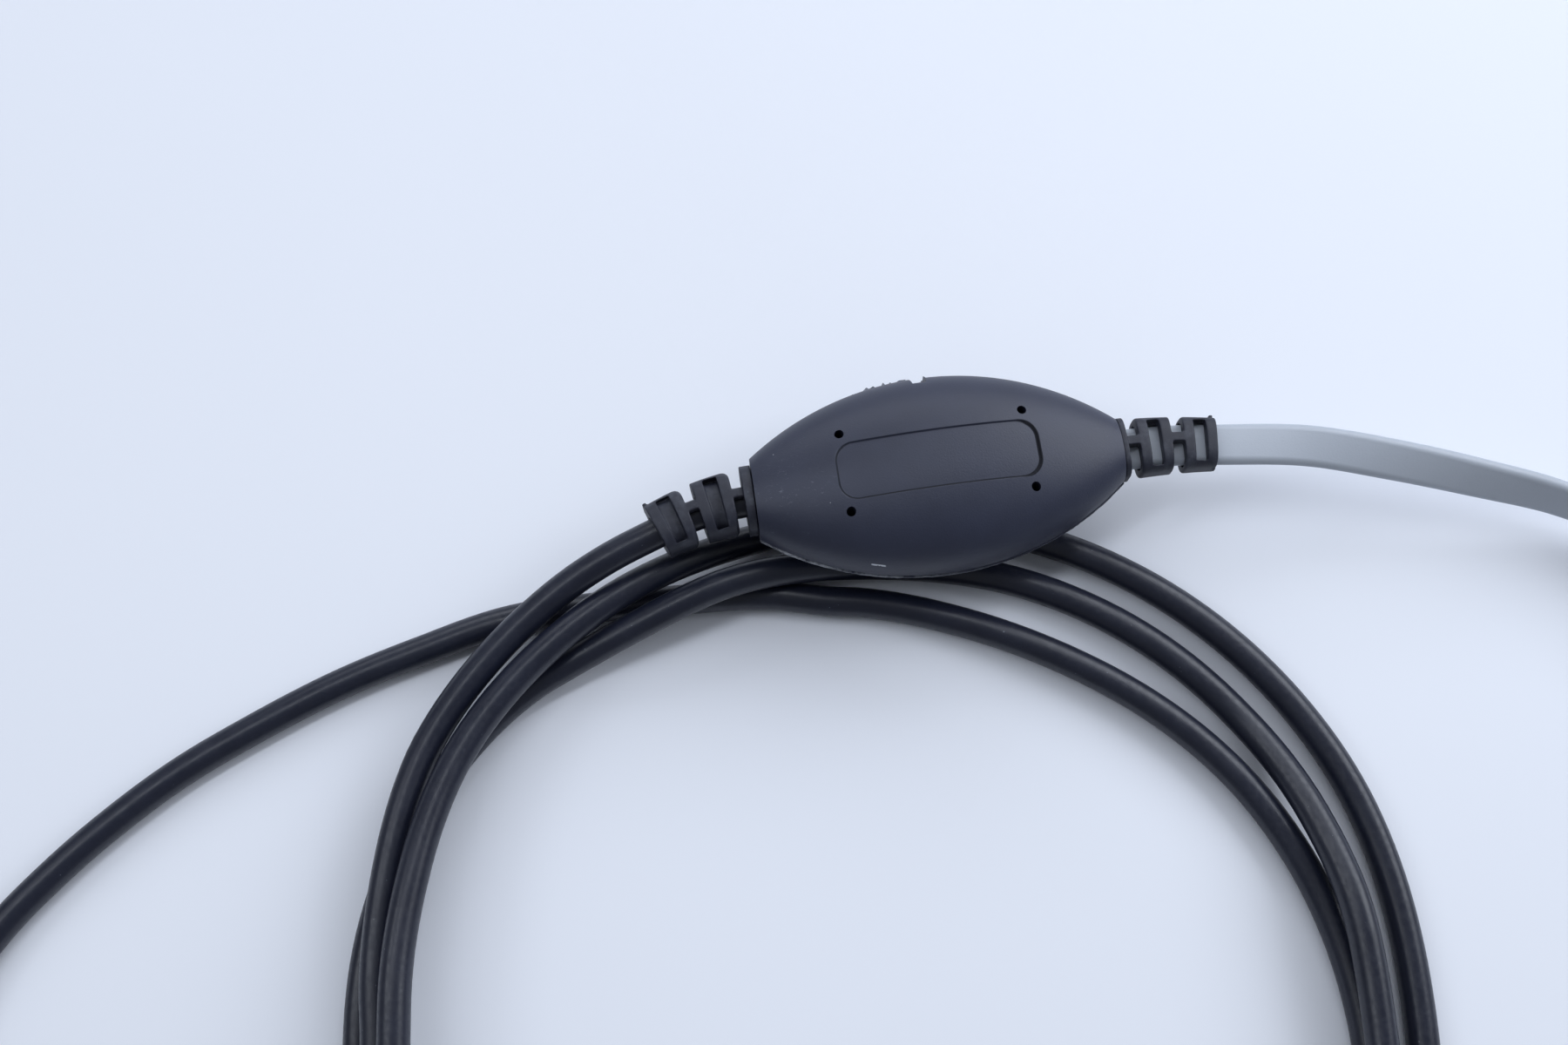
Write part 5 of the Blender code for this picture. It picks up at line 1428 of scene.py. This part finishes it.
def modular_body(cords, plugs):
    """The modular plug's body: its lip, the opening for the cord, and slots for the bar and the contacts."""
    side, top = plugs.modular_width / 2, plugs.modular_height / 2
    body = make_object("modular_plug_shell", box((-plugs.modular_length, 0), (-side, side), (-top, top)))
    lip = plugs.latch_width / 2
    combine(body, box((-LIP_LENGTH, 0), (-lip, lip), (-top - LIP_DEPTH, -top + LIP_DEPTH)), "UNION")
    bevel(body, MODULAR_EDGE)
    rear = -plugs.modular_length
    cavity = flat_section(cords, CLEARANCE, FLAT_EDGE_STEPS)
    combine(body, bar(cavity, rear - CUT_MARGIN, rear + plugs.modular_cavity))
    start, across = rear + CLAMP_BAR_SETBACK, CLAMP_BAR_WIDTH / 2
    window = (start - CLEARANCE, start + CLAMP_BAR_LENGTH + CLEARANCE)
    combine(body, box(window, (-across - CLEARANCE, across + CLEARANCE), (0, top + CUT_MARGIN)))
    front, half = -CONTACT_SETBACK, CONTACT_THICKNESS / 2
    floor = top - CONTACT_SINK - CONTACT_HEIGHT - FINE_CLEARANCE
    for index in range(CONTACT_COUNT):
        y = plugs.contact_pitch * (index - (CONTACT_COUNT - 1) / 2)
        slot_x = (front - CONTACT_LENGTH - FINE_CLEARANCE, front + FINE_CLEARANCE)
        slot_y = (y - half - FINE_CLEARANCE, y + half + FINE_CLEARANCE)
        combine(body, box(slot_x, slot_y, (floor, top + CUT_MARGIN)))
    return body


def clamp_bar(cords, plugs):
    """The bar that holds the flat cord in the modular plug."""
    start, across = -plugs.modular_length + CLAMP_BAR_SETBACK, CLAMP_BAR_WIDTH / 2
    height = (cords.flat_thickness / 2 + CLEARANCE, plugs.modular_height / 2 - CLEARANCE)
    shape = box((start, start + CLAMP_BAR_LENGTH), (-across, across), height)
    clamp = make_object("modular_plug_grip_bar", shape)
    bevel(clamp, CLAMP_BAR_EDGE)
    return clamp


def latch_tongue(plugs):
    """The latch, hinged under the plug's nose and standing off towards the rear."""
    root, tongue, thick = plugs.latch_width / 2, LATCH_TONGUE_WIDTH / 2, LATCH_THICKNESS / 2
    shoulder, end = LATCH_SHOULDER, plugs.latch_length
    outline = [(thick, -root), (thick, root), (-shoulder, root), (-shoulder, tongue)]
    outline += [(-end, tongue), (-end, -tongue), (-shoulder, -tongue), (-shoulder, -root)]
    latch = make_object("modular_plug_tongue", prism(outline, -thick, thick))
    bevel(latch, LATCH_EDGE)
    hinge = (-LIP_LENGTH - CLEARANCE - thick, 0, -plugs.modular_height / 2 - CLEARANCE - thick)
    return put(latch, Matrix.Translation(hinge) @ Matrix.Rotation(-plugs.latch_slope, 4, "Y"))


def make_modular_plug(cords, plugs, stage):
    """The modular plug's pieces, in place on the table."""
    matrix = plug_frame(MODULAR_REAR, plugs.modular_length, modular_level(plugs, stage))
    clear = clear_plastic("modular_clear", plugs)
    body = put(modular_body(cords, plugs), matrix)
    dress(body, POD, clear, ["modular_plug_body"], sharp=30)
    clamp = put(clamp_bar(cords, plugs), matrix)
    dress(clamp, POD, clear, ["modular_plug_clamp_bar"], sharp=30)
    latch = put(latch_tongue(plugs), matrix)
    dress(latch, LATCH, clear, ["modular_plug_latch"], sharp=30)
    contacts = numbered("modular_plug_contact", CONTACT_COUNT)
    paint(gold_plate("contact_gold", plugs), *contacts)
    return [body, clamp, latch] + [NODES[name] for name in contacts]


def new_tree(name, inputs):
    """A geometry tree with named inputs, a finish and one geometry output, and its input node."""
    tree = bpy.data.node_groups.new(name, "GeometryNodeTree")
    for socket, kind in (("Geometry", "Geometry"), *inputs, ("Finish", "Material")):
        tree.interface.new_socket(socket, in_out="INPUT", socket_type="NodeSocket" + kind)
    tree.interface.new_socket("Geometry", in_out="OUTPUT", socket_type="NodeSocketGeometry")
    return tree, tree.nodes.new("NodeGroupInput")


def end_tree(tree, given, points, shape, socket, value):
    """Ends a tree: a shape on each point, with one more socket linked, made real and given the finish."""
    nodes, links = tree.nodes, tree.links
    stand = nodes.new("GeometryNodeInstanceOnPoints")
    links.new(points, stand.inputs["Points"])
    links.new(shape, stand.inputs["Instance"])
    links.new(value, stand.inputs[socket])
    real, coat = nodes.new("GeometryNodeRealizeInstances"), nodes.new("GeometryNodeSetMaterial")
    links.new(stand.outputs["Instances"], real.inputs["Geometry"])
    links.new(real.outputs["Geometry"], coat.inputs["Geometry"])
    links.new(given.outputs["Finish"], coat.inputs["Material"])
    links.new(coat.outputs["Geometry"], nodes.new("NodeGroupOutput").inputs["Geometry"])
    return tree


def rib_tree():
    """A node tree that stands round ribs in a circle about Z."""
    sizes = [(name, "Float") for name in ("Circle Radius", "Rib Radius", "Rib Length")]
    tree, given = new_tree("ribs_in_a_circle", [("Count", "Int"), *sizes])
    nodes, links = tree.nodes, tree.links
    ring = nodes.new("GeometryNodeMeshCircle")
    links.new(given.outputs["Count"], ring.inputs["Vertices"])
    links.new(given.outputs["Circle Radius"], ring.inputs["Radius"])
    rib = nodes.new("GeometryNodeMeshCylinder")
    rib.inputs["Vertices"].default_value = 10
    links.new(given.outputs["Rib Radius"], rib.inputs["Radius"])
    links.new(given.outputs["Rib Length"], rib.inputs["Depth"])
    where, align = nodes.new("GeometryNodeInputPosition"), nodes.new("FunctionNodeAlignRotationToVector")
    align.axis = "X"
    align.pivot_axis = "Z"
    links.new(where.outputs["Position"], align.inputs["Vector"])
    turned_out = align.outputs["Rotation"]
    return end_tree(tree, given, ring.outputs["Mesh"], rib.outputs["Mesh"], "Rotation", turned_out)


def dome_tree():
    """A node tree that sets a flattened dome on each point of a mesh."""
    tree, given = new_tree("domes_on_points", [("Dome Radius", "Float"), ("Dome Flatness", "Float")])
    nodes, links = tree.nodes, tree.links
    dome = nodes.new("GeometryNodeMeshUVSphere")
    dome.inputs["Segments"].default_value = 16
    dome.inputs["Rings"].default_value = 10
    links.new(given.outputs["Dome Radius"], dome.inputs["Radius"])
    stretch = nodes.new("ShaderNodeCombineXYZ")
    stretch.inputs["X"].default_value = 1.0
    stretch.inputs["Y"].default_value = 1.0
    links.new(given.outputs["Dome Flatness"], stretch.inputs["Z"])
    points = given.outputs["Geometry"]
    return end_tree(tree, given, points, dome.outputs["Mesh"], "Scale", stretch.outputs["Vector"])


def grown(name, tree, values, points=((0, 0, 0),)):
    """A plain mesh object from a node tree with its inputs set."""
    mesh = bpy.data.meshes.new(name)
    mesh.from_pydata([tuple(point) for point in points], [], [])
    made = bpy.data.objects.new(name, mesh)
    bpy.context.scene.collection.objects.link(made)
    modifier = made.modifiers.new("grow", "NODES")
    modifier.node_group = tree
    for item in tree.interface.items_tree:
        if item.item_type == "SOCKET" and item.in_out == "INPUT" and item.name in values:
            modifier[item.identifier] = values[item.name]
    return settle(made)


def ribs(name, tree, count, circle_radius, rib_radius, start, stop, material):
    """Ribs round a plug's X axis between two places along it."""
    values = {
        "Count": count, "Circle Radius": circle_radius, "Rib Radius": rib_radius, "Rib Length": stop - start,
        "Finish": material,
    }
    made = grown(name, tree, values)
    return put(made, Matrix.Translation(((start + stop) / 2, 0, 0)) @ Matrix.Rotation(math.pi / 2, 4, "Y"))


def soft_profile(points, radius):
    """A closed (x, radius) outline with each corner cut by a small round of three points."""
    made = []
    count = len(points)
    for index, point in enumerate(points):
        here = Vector(point)
        before, after = Vector(points[index - 1]), Vector(points[(index + 1) % count])
        back = min(radius, MOST_OF_A_SIDE * (before - here).length)
        on = min(radius, MOST_OF_A_SIDE * (after - here).length)
        first = here + (before - here).normalized() * back
        last = here + (after - here).normalized() * on
        middle = (first + last) / 4 + here / 2
        made += [tuple(first), tuple(middle), tuple(last)]
    return made


def plug_barrel(plugs):
    """The round plug's barrel: its sleeve with the clip's groove, and its grip between two lands."""
    sleeve, bore, grip = plugs.sleeve_radius, plugs.sleeve_bore, plugs.grip_radius
    front, rear = -plugs.sleeve_length, -plugs.sleeve_length - plugs.grip_length
    clip = front + CLEARANCE + plugs.ring_lip + CLEARANCE
    groove = (clip - FINE_CLEARANCE, clip + CLIP_LENGTH + FINE_CLEARANCE)
    between_ribs = grip - GRIP_RIB_RADIUS
    profile = [
        (0, bore), (0, sleeve), (groove[1], sleeve), (groove[1], sleeve - CLIP_GROOVE),
        (groove[0], sleeve - CLIP_GROOVE), (groove[0], sleeve), (front, sleeve), (front, grip),
        (front - GRIP_LAND, grip), (front - GRIP_LAND_FOOT, between_ribs),
        (rear + GRIP_LAND_FOOT, between_ribs), (rear + GRIP_LAND, grip), (rear, grip), (rear, bore),
    ]
    return make_object("round_plug_body", turned(soft_profile(profile, BARREL_EDGE)))


def plug_boot(cords, plugs):
    """The round plug's tapered boot: grooved, bored for the cord, with a spigot in the barrel."""
    front = -plugs.sleeve_length - plugs.grip_length - CLEARANCE
    back = front - plugs.boot_length
    hole, spigot = cords.round_diameter / 2 + CLEARANCE, plugs.sleeve_bore - CLEARANCE
    profile = [(back, hole), (back, plugs.boot_rear)]
    pitch = plugs.boot_length / (BOOT_GROOVES + 1)
    for index in range(BOOT_GROOVES):
        middle = back + pitch * (index + 1)
        for place, depth in ((-pitch / 4, 0), (-pitch / 8, 1), (pitch / 8, 1), (pitch / 4, 0)):
            share = (middle + place - back) / plugs.boot_length
            radius = plugs.boot_rear + (plugs.boot_front - plugs.boot_rear) * share
            profile.append((middle + place, radius - depth * BOOT_GROOVE_DEPTH))
    tip = front + BOOT_SPIGOT
    profile += [(front, plugs.boot_front), (front, spigot), (tip, spigot), (tip, hole)]
    return make_object("round_plug_sleeve_boot", turned(soft_profile(profile, BOOT_EDGE)))


def locking_ring(plugs, start, stop):
    """The locking ring without its ribs: a lip round the sleeve, then the wider thread."""
    lip, skin = plugs.sleeve_radius + CLEARANCE, plugs.ring_radius - RING_RIB_RADIUS
    thread = start + plugs.ring_lip
    profile = [
        (start, skin), (stop, skin), (stop, plugs.ring_thread), (thread, plugs.ring_thread), (thread, lip),
        (start, lip),
    ]
    return make_object("round_plug_locking_ring", turned(soft_profile(profile, RING_EDGE)))


def make_round_plug(cords, plugs, stage):
    """The round plug's pieces, in place on the table."""
    matrix = plug_frame(ROUND_PLUG_REAR, round_plug_length(plugs), round_plug_level(plugs, stage))
    nickel = plated_metal("plug_nickel", plugs.nickel, 0.00025, (0.15, 1, 0.15))
    tree = rib_tree()
    barrel = put(plug_barrel(plugs), matrix)
    dress(barrel, POD, nickel, ["round_plug_barrel"], sharp=50)
    front, rear = -plugs.sleeve_length, -plugs.sleeve_length - plugs.grip_length
    knurl = ribs(
        "round_plug_grip_ribs", tree, plugs.grip_ribs, plugs.grip_radius - GRIP_RIB_RADIUS, GRIP_RIB_RADIUS,
        rear + GRIP_RIB_SETBACK, front - GRIP_RIB_SETBACK, nickel,
    )
    dress(put(knurl, matrix), POD, nickel)
    boot = put(plug_boot(cords, plugs), matrix)
    dress(boot, POD, rubber("boot_rubber", cords), ["round_plug_boot"], sharp=50)

    start = front + CLEARANCE
    stop = start + plugs.ring_length
    ring = put(locking_ring(plugs, start, stop), matrix)
    dress(ring, RING, nickel, ["round_plug_ring"], sharp=50)
    rows = ribs(
        "round_plug_ring_ribs", tree, plugs.ring_ribs, plugs.ring_radius - RING_RIB_RADIUS, RING_RIB_RADIUS,
        start + RING_RIB_SETBACK, stop - RING_RIB_SETBACK, nickel,
    )
    dress(put(rows, matrix), RING, nickel)

    paint(nickel, "round_plug_clip")
    paint(insulator_finish(), "round_plug_insulator")
    pins, wires = numbered("round_plug_pin", PIN_COUNT), numbered("round_plug_wire", PIN_COUNT)
    paint(gold_plate("pin_gold", plugs), *pins)
    for name, base in zip(wires, WIRE_COLOURS):
        paint(wire_finish(name + "_skin", base), name)
    carried = ["round_plug_clip", "round_plug_insulator"] + pins + wires
    return [barrel, knurl, boot, ring, rows] + [NODES[name] for name in carried]


def make_inside(pod):
    """The pod's inside keeps its solids, with solder on the pads and a finish for each piece."""
    middle, top = pod.widest, board_top(pod)
    paint(board_laminate(), "circuit_board")
    paint(chip_finish(), "chip")
    can_top = top + FINE_CLEARANCE + CAPACITOR_HEIGHT
    paint(capacitor_finish(middle + CAPACITOR_OFFSET, can_top), "capacitor")
    paint(resistor_finish(middle - RESISTOR_OFFSET, RESISTOR_BODY / 2), *numbered("resistor", RESISTOR_COUNT))
    steel = plated_metal("grip_steel", (0.50, 0.51, 0.53), 0.0005, (0.3, 1, 1))
    paint(steel, "round_cord_crimp", "flat_cord_clamp")
    for index, base in enumerate(WIRE_COLOURS, 1):
        skin = wire_finish(f"pod_wire_skin_{index}", base)
        paint(skin, f"round_cord_wire_{index}", f"flat_cord_wire_{index}")
    points = []
    for index in range(WIRE_COUNT):
        offset = index - (WIRE_COUNT - 1) / 2
        for side in (-1, 1):
            points.append((middle + side * PAD_OFFSET, offset * PAD_PITCH, top))
            points.append((middle + offset * LEG_PITCH, side * LEG_ROW, top))
    tin = plated_metal("solder_tin", TIN, 0.0006)
    values = {"Dome Radius": SOLDER_RADIUS, "Dome Flatness": SOLDER_FLATNESS, "Finish": tin}
    solder = grown("board_solder", dome_tree(), values, points)
    dress(solder, POD, tin)


def make_lamp(name, place, watts, shade, width, height):
    """A soft rectangular light that faces the pod."""
    light = bpy.data.lights.new(name, "AREA")
    light.shape = "RECTANGLE"
    light.size = width
    light.size_y = height
    light.energy = watts
    light.color = shade
    lamp = bpy.data.objects.new(name, light)
    lamp.location = place
    lamp.rotation_euler = (-Vector(place)).to_track_quat("-Z", "Y").to_euler()
    bpy.context.scene.collection.objects.link(lamp)


def make_table(stage):
    """The pale table, which fades into the wall far out, but only where the camera sees it straight."""
    half = stage.table_size / 2
    mesh = bpy.data.meshes.new("table")
    corners = [(-half, -half), (half, -half), (half, half), (-half, half)]
    mesh.from_pydata([(x, y, stage.table) for x, y in corners], [], [(0, 1, 2, 3)])
    table = bpy.data.objects.new("table", mesh)
    bpy.context.scene.collection.objects.link(table)
    finish = Finish("pale_table")
    where = finish.place()
    x, y = finish.axis(where, "X"), finish.axis(where, "Y")
    clouds = finish.noise(where, 0.12, 3)
    skin = finish.mix(clouds, tint(stage.table_colour, 0.985), tint(stage.table_colour, 1.015))
    mesh.materials.append(finish.set(Base_Color=skin, Roughness=0.55, Specular_IOR_Level=0.3))
    far = finish.ramp(finish.root(x * x + y * y), stage.sweep_start, stage.sweep_end)
    seen = finish.node("ShaderNodeLightPath", output="Is Camera Ray")
    wall = finish.node("ShaderNodeEmission", None, {"Color": stage.wall_colour})
    near = Tap(finish, finish.shader.outputs[0])
    sweep = finish.node("ShaderNodeMixShader", None, {0: far * seen, 1: near, 2: wall})
    finish.feed(finish.tree.nodes["Material Output"].inputs["Surface"], sweep)


def make_world(stage):
    """Even light from all round, with a pale wall where the camera looks past the table."""
    world = bpy.data.worlds.new("studio")
    world.use_nodes = True
    nodes, links = world.node_tree.nodes, world.node_tree.links
    sky, wall = nodes["Background"], nodes.new("ShaderNodeBackground")
    sky.inputs["Color"].default_value = (*stage.light_colour, 1.0)
    sky.inputs["Strength"].default_value = stage.sky
    wall.inputs["Color"].default_value = (*stage.wall_colour, 1.0)
    seen, choice = nodes.new("ShaderNodeLightPath"), nodes.new("ShaderNodeMixShader")
    links.new(seen.outputs["Is Camera Ray"], choice.inputs[0])
    links.new(sky.outputs[0], choice.inputs[1])
    links.new(wall.outputs[0], choice.inputs[2])
    links.new(choice.outputs[0], nodes["World Output"].inputs["Surface"])
    bpy.context.scene.world = world


def make_camera():
    """The photograph's camera."""
    lens = bpy.data.cameras.new("photo_camera")
    lens.lens = CAMERA_LENS
    lens.sensor_width = CAMERA_SENSOR
    lens.clip_start = 0.01
    camera = bpy.data.objects.new("photo_camera", lens)
    ahead = Vector(CAMERA_LOOK).normalized()
    up = Vector(CAMERA_RIGHT).cross(ahead).normalized()
    right = ahead.cross(up).normalized()
    camera.matrix_world = Matrix.Translation(CAMERA_PLACE) @ Matrix((right, up, -ahead)).transposed().to_4x4()
    bpy.context.scene.collection.objects.link(camera)
    bpy.context.scene.camera = camera


def make_stage(stage):
    """The table, four soft lights, the world and the camera."""
    make_table(stage)
    for name, place, watts, width, height in (
        ("overhead", (-0.06, 0.15, 0.70), stage.overhead_power, 1.20, 0.10),
        ("right", (1.00, 0.42, 0.75), stage.right_power, 1.20, 0.80),
        ("left", (-1.00, 0.18, 0.92), stage.left_power, 0.40, 0.40),
        ("back", (0.07, 1.20, 0.75), stage.back_power, 1.65, 0.68),
    ):
        make_lamp(name, place, watts, stage.light_colour, width, height)
    make_world(stage)
    make_camera()
    bpy.context.scene.view_settings.view_transform = "Standard"


class CABLEPOD_OT_stage(bpy.types.Operator):
    """Lay the table, the soft lights and the camera"""

    bl_idname = "cable_pod.stage"
    bl_label = "Stage"

    def execute(self, context):
        make_stage(context.scene.cable_stage)
        return {"FINISHED"}


class CABLEPOD_OT_shells(bpy.types.Operator):
    """Mould the pod's two shells, with the sunk panel, the pin holes and the ragged fin"""

    bl_idname = "cable_pod.shells"
    bl_label = "Pod shells"

    def execute(self, context):
        make_upper_shell(context.scene.cable_pod)
        make_lower_shell(context.scene.cable_pod)
        return {"FINISHED"}


class CABLEPOD_OT_reliefs(bpy.types.Operator):
    """Mould the slotted strain reliefs"""

    bl_idname = "cable_pod.reliefs"
    bl_label = "Strain reliefs"

    def execute(self, context):
        make_reliefs(context.scene.cable_pod, context.scene.cable_cords)
        return {"FINISHED"}


class CABLEPOD_OT_inside(bpy.types.Operator):
    """Finish the board and the wires inside the pod"""

    bl_idname = "cable_pod.inside"
    bl_label = "Pod inside"

    def execute(self, context):
        make_inside(context.scene.cable_pod)
        return {"FINISHED"}


class CABLEPOD_OT_round_cord(bpy.types.Operator):
    """Lay the coiled round cord with its plug"""

    bl_idname = "cable_pod.round_cord"
    bl_label = "Round cord and plug"

    def execute(self, context):
        pod, cords, plugs, stage = [getattr(context.scene, name) for name in GROUPS]
        cord, points = make_round_cord(pod, cords, plugs, stage)
        pieces = make_round_plug(cords, plugs, stage)
        length_of(points)
        pieces + [bpy.data.objects["round_cord_relief_moulding"]]
        return {"FINISHED"}


class CABLEPOD_OT_flat_cord(bpy.types.Operator):
    """Lay the flat cord with its modular plug"""

    bl_idname = "cable_pod.flat_cord"
    bl_label = "Flat cord and plug"

    def execute(self, context):
        pod, cords, plugs, stage = [getattr(context.scene, name) for name in GROUPS]
        cord, points = make_flat_cord(pod, cords, plugs, stage)
        pieces = make_modular_plug(cords, plugs, stage)
        length_of(points)
        pieces + [bpy.data.objects["flat_cord_relief_moulding"]]
        return {"FINISHED"}


class CABLEPOD_PT_build(bpy.types.Panel):
    """The steps that build the cable pod"""

    bl_idname = "CABLEPOD_PT_build"
    bl_label = "Cable Pod"
    bl_space_type = "VIEW_3D"
    bl_region_type = "UI"
    bl_category = "Cable Pod"

    def draw(self, context):
        for step in STEPS:
            self.layout.operator(step.bl_idname)


GROUPS = {
    "cable_pod": PodSettings, "cable_cords": CordSettings, "cable_plugs": PlugSettings,
    "cable_stage": StageSettings,
}
STEPS = (
    CABLEPOD_OT_stage, CABLEPOD_OT_shells, CABLEPOD_OT_reliefs, CABLEPOD_OT_round_cord, CABLEPOD_OT_flat_cord,
    CABLEPOD_OT_inside,
)
CLASSES = (*GROUPS.values(), *STEPS, CABLEPOD_PT_build)


def register():
    for made in CLASSES:
        bpy.utils.register_class(made)
    for name, group in GROUPS.items():
        setattr(bpy.types.Scene, name, bpy.props.PointerProperty(type=group))


def unregister():
    for name in GROUPS:
        delattr(bpy.types.Scene, name)
    for made in reversed(CLASSES):
        bpy.utils.unregister_class(made)


def main():
    register()
    bpy.ops.cable_pod.stage()
    bpy.ops.cable_pod.shells()
    bpy.ops.cable_pod.reliefs()
    bpy.ops.cable_pod.round_cord()
    bpy.ops.cable_pod.flat_cord()
    bpy.ops.cable_pod.inside()


if __name__ == "__main__":
    main()
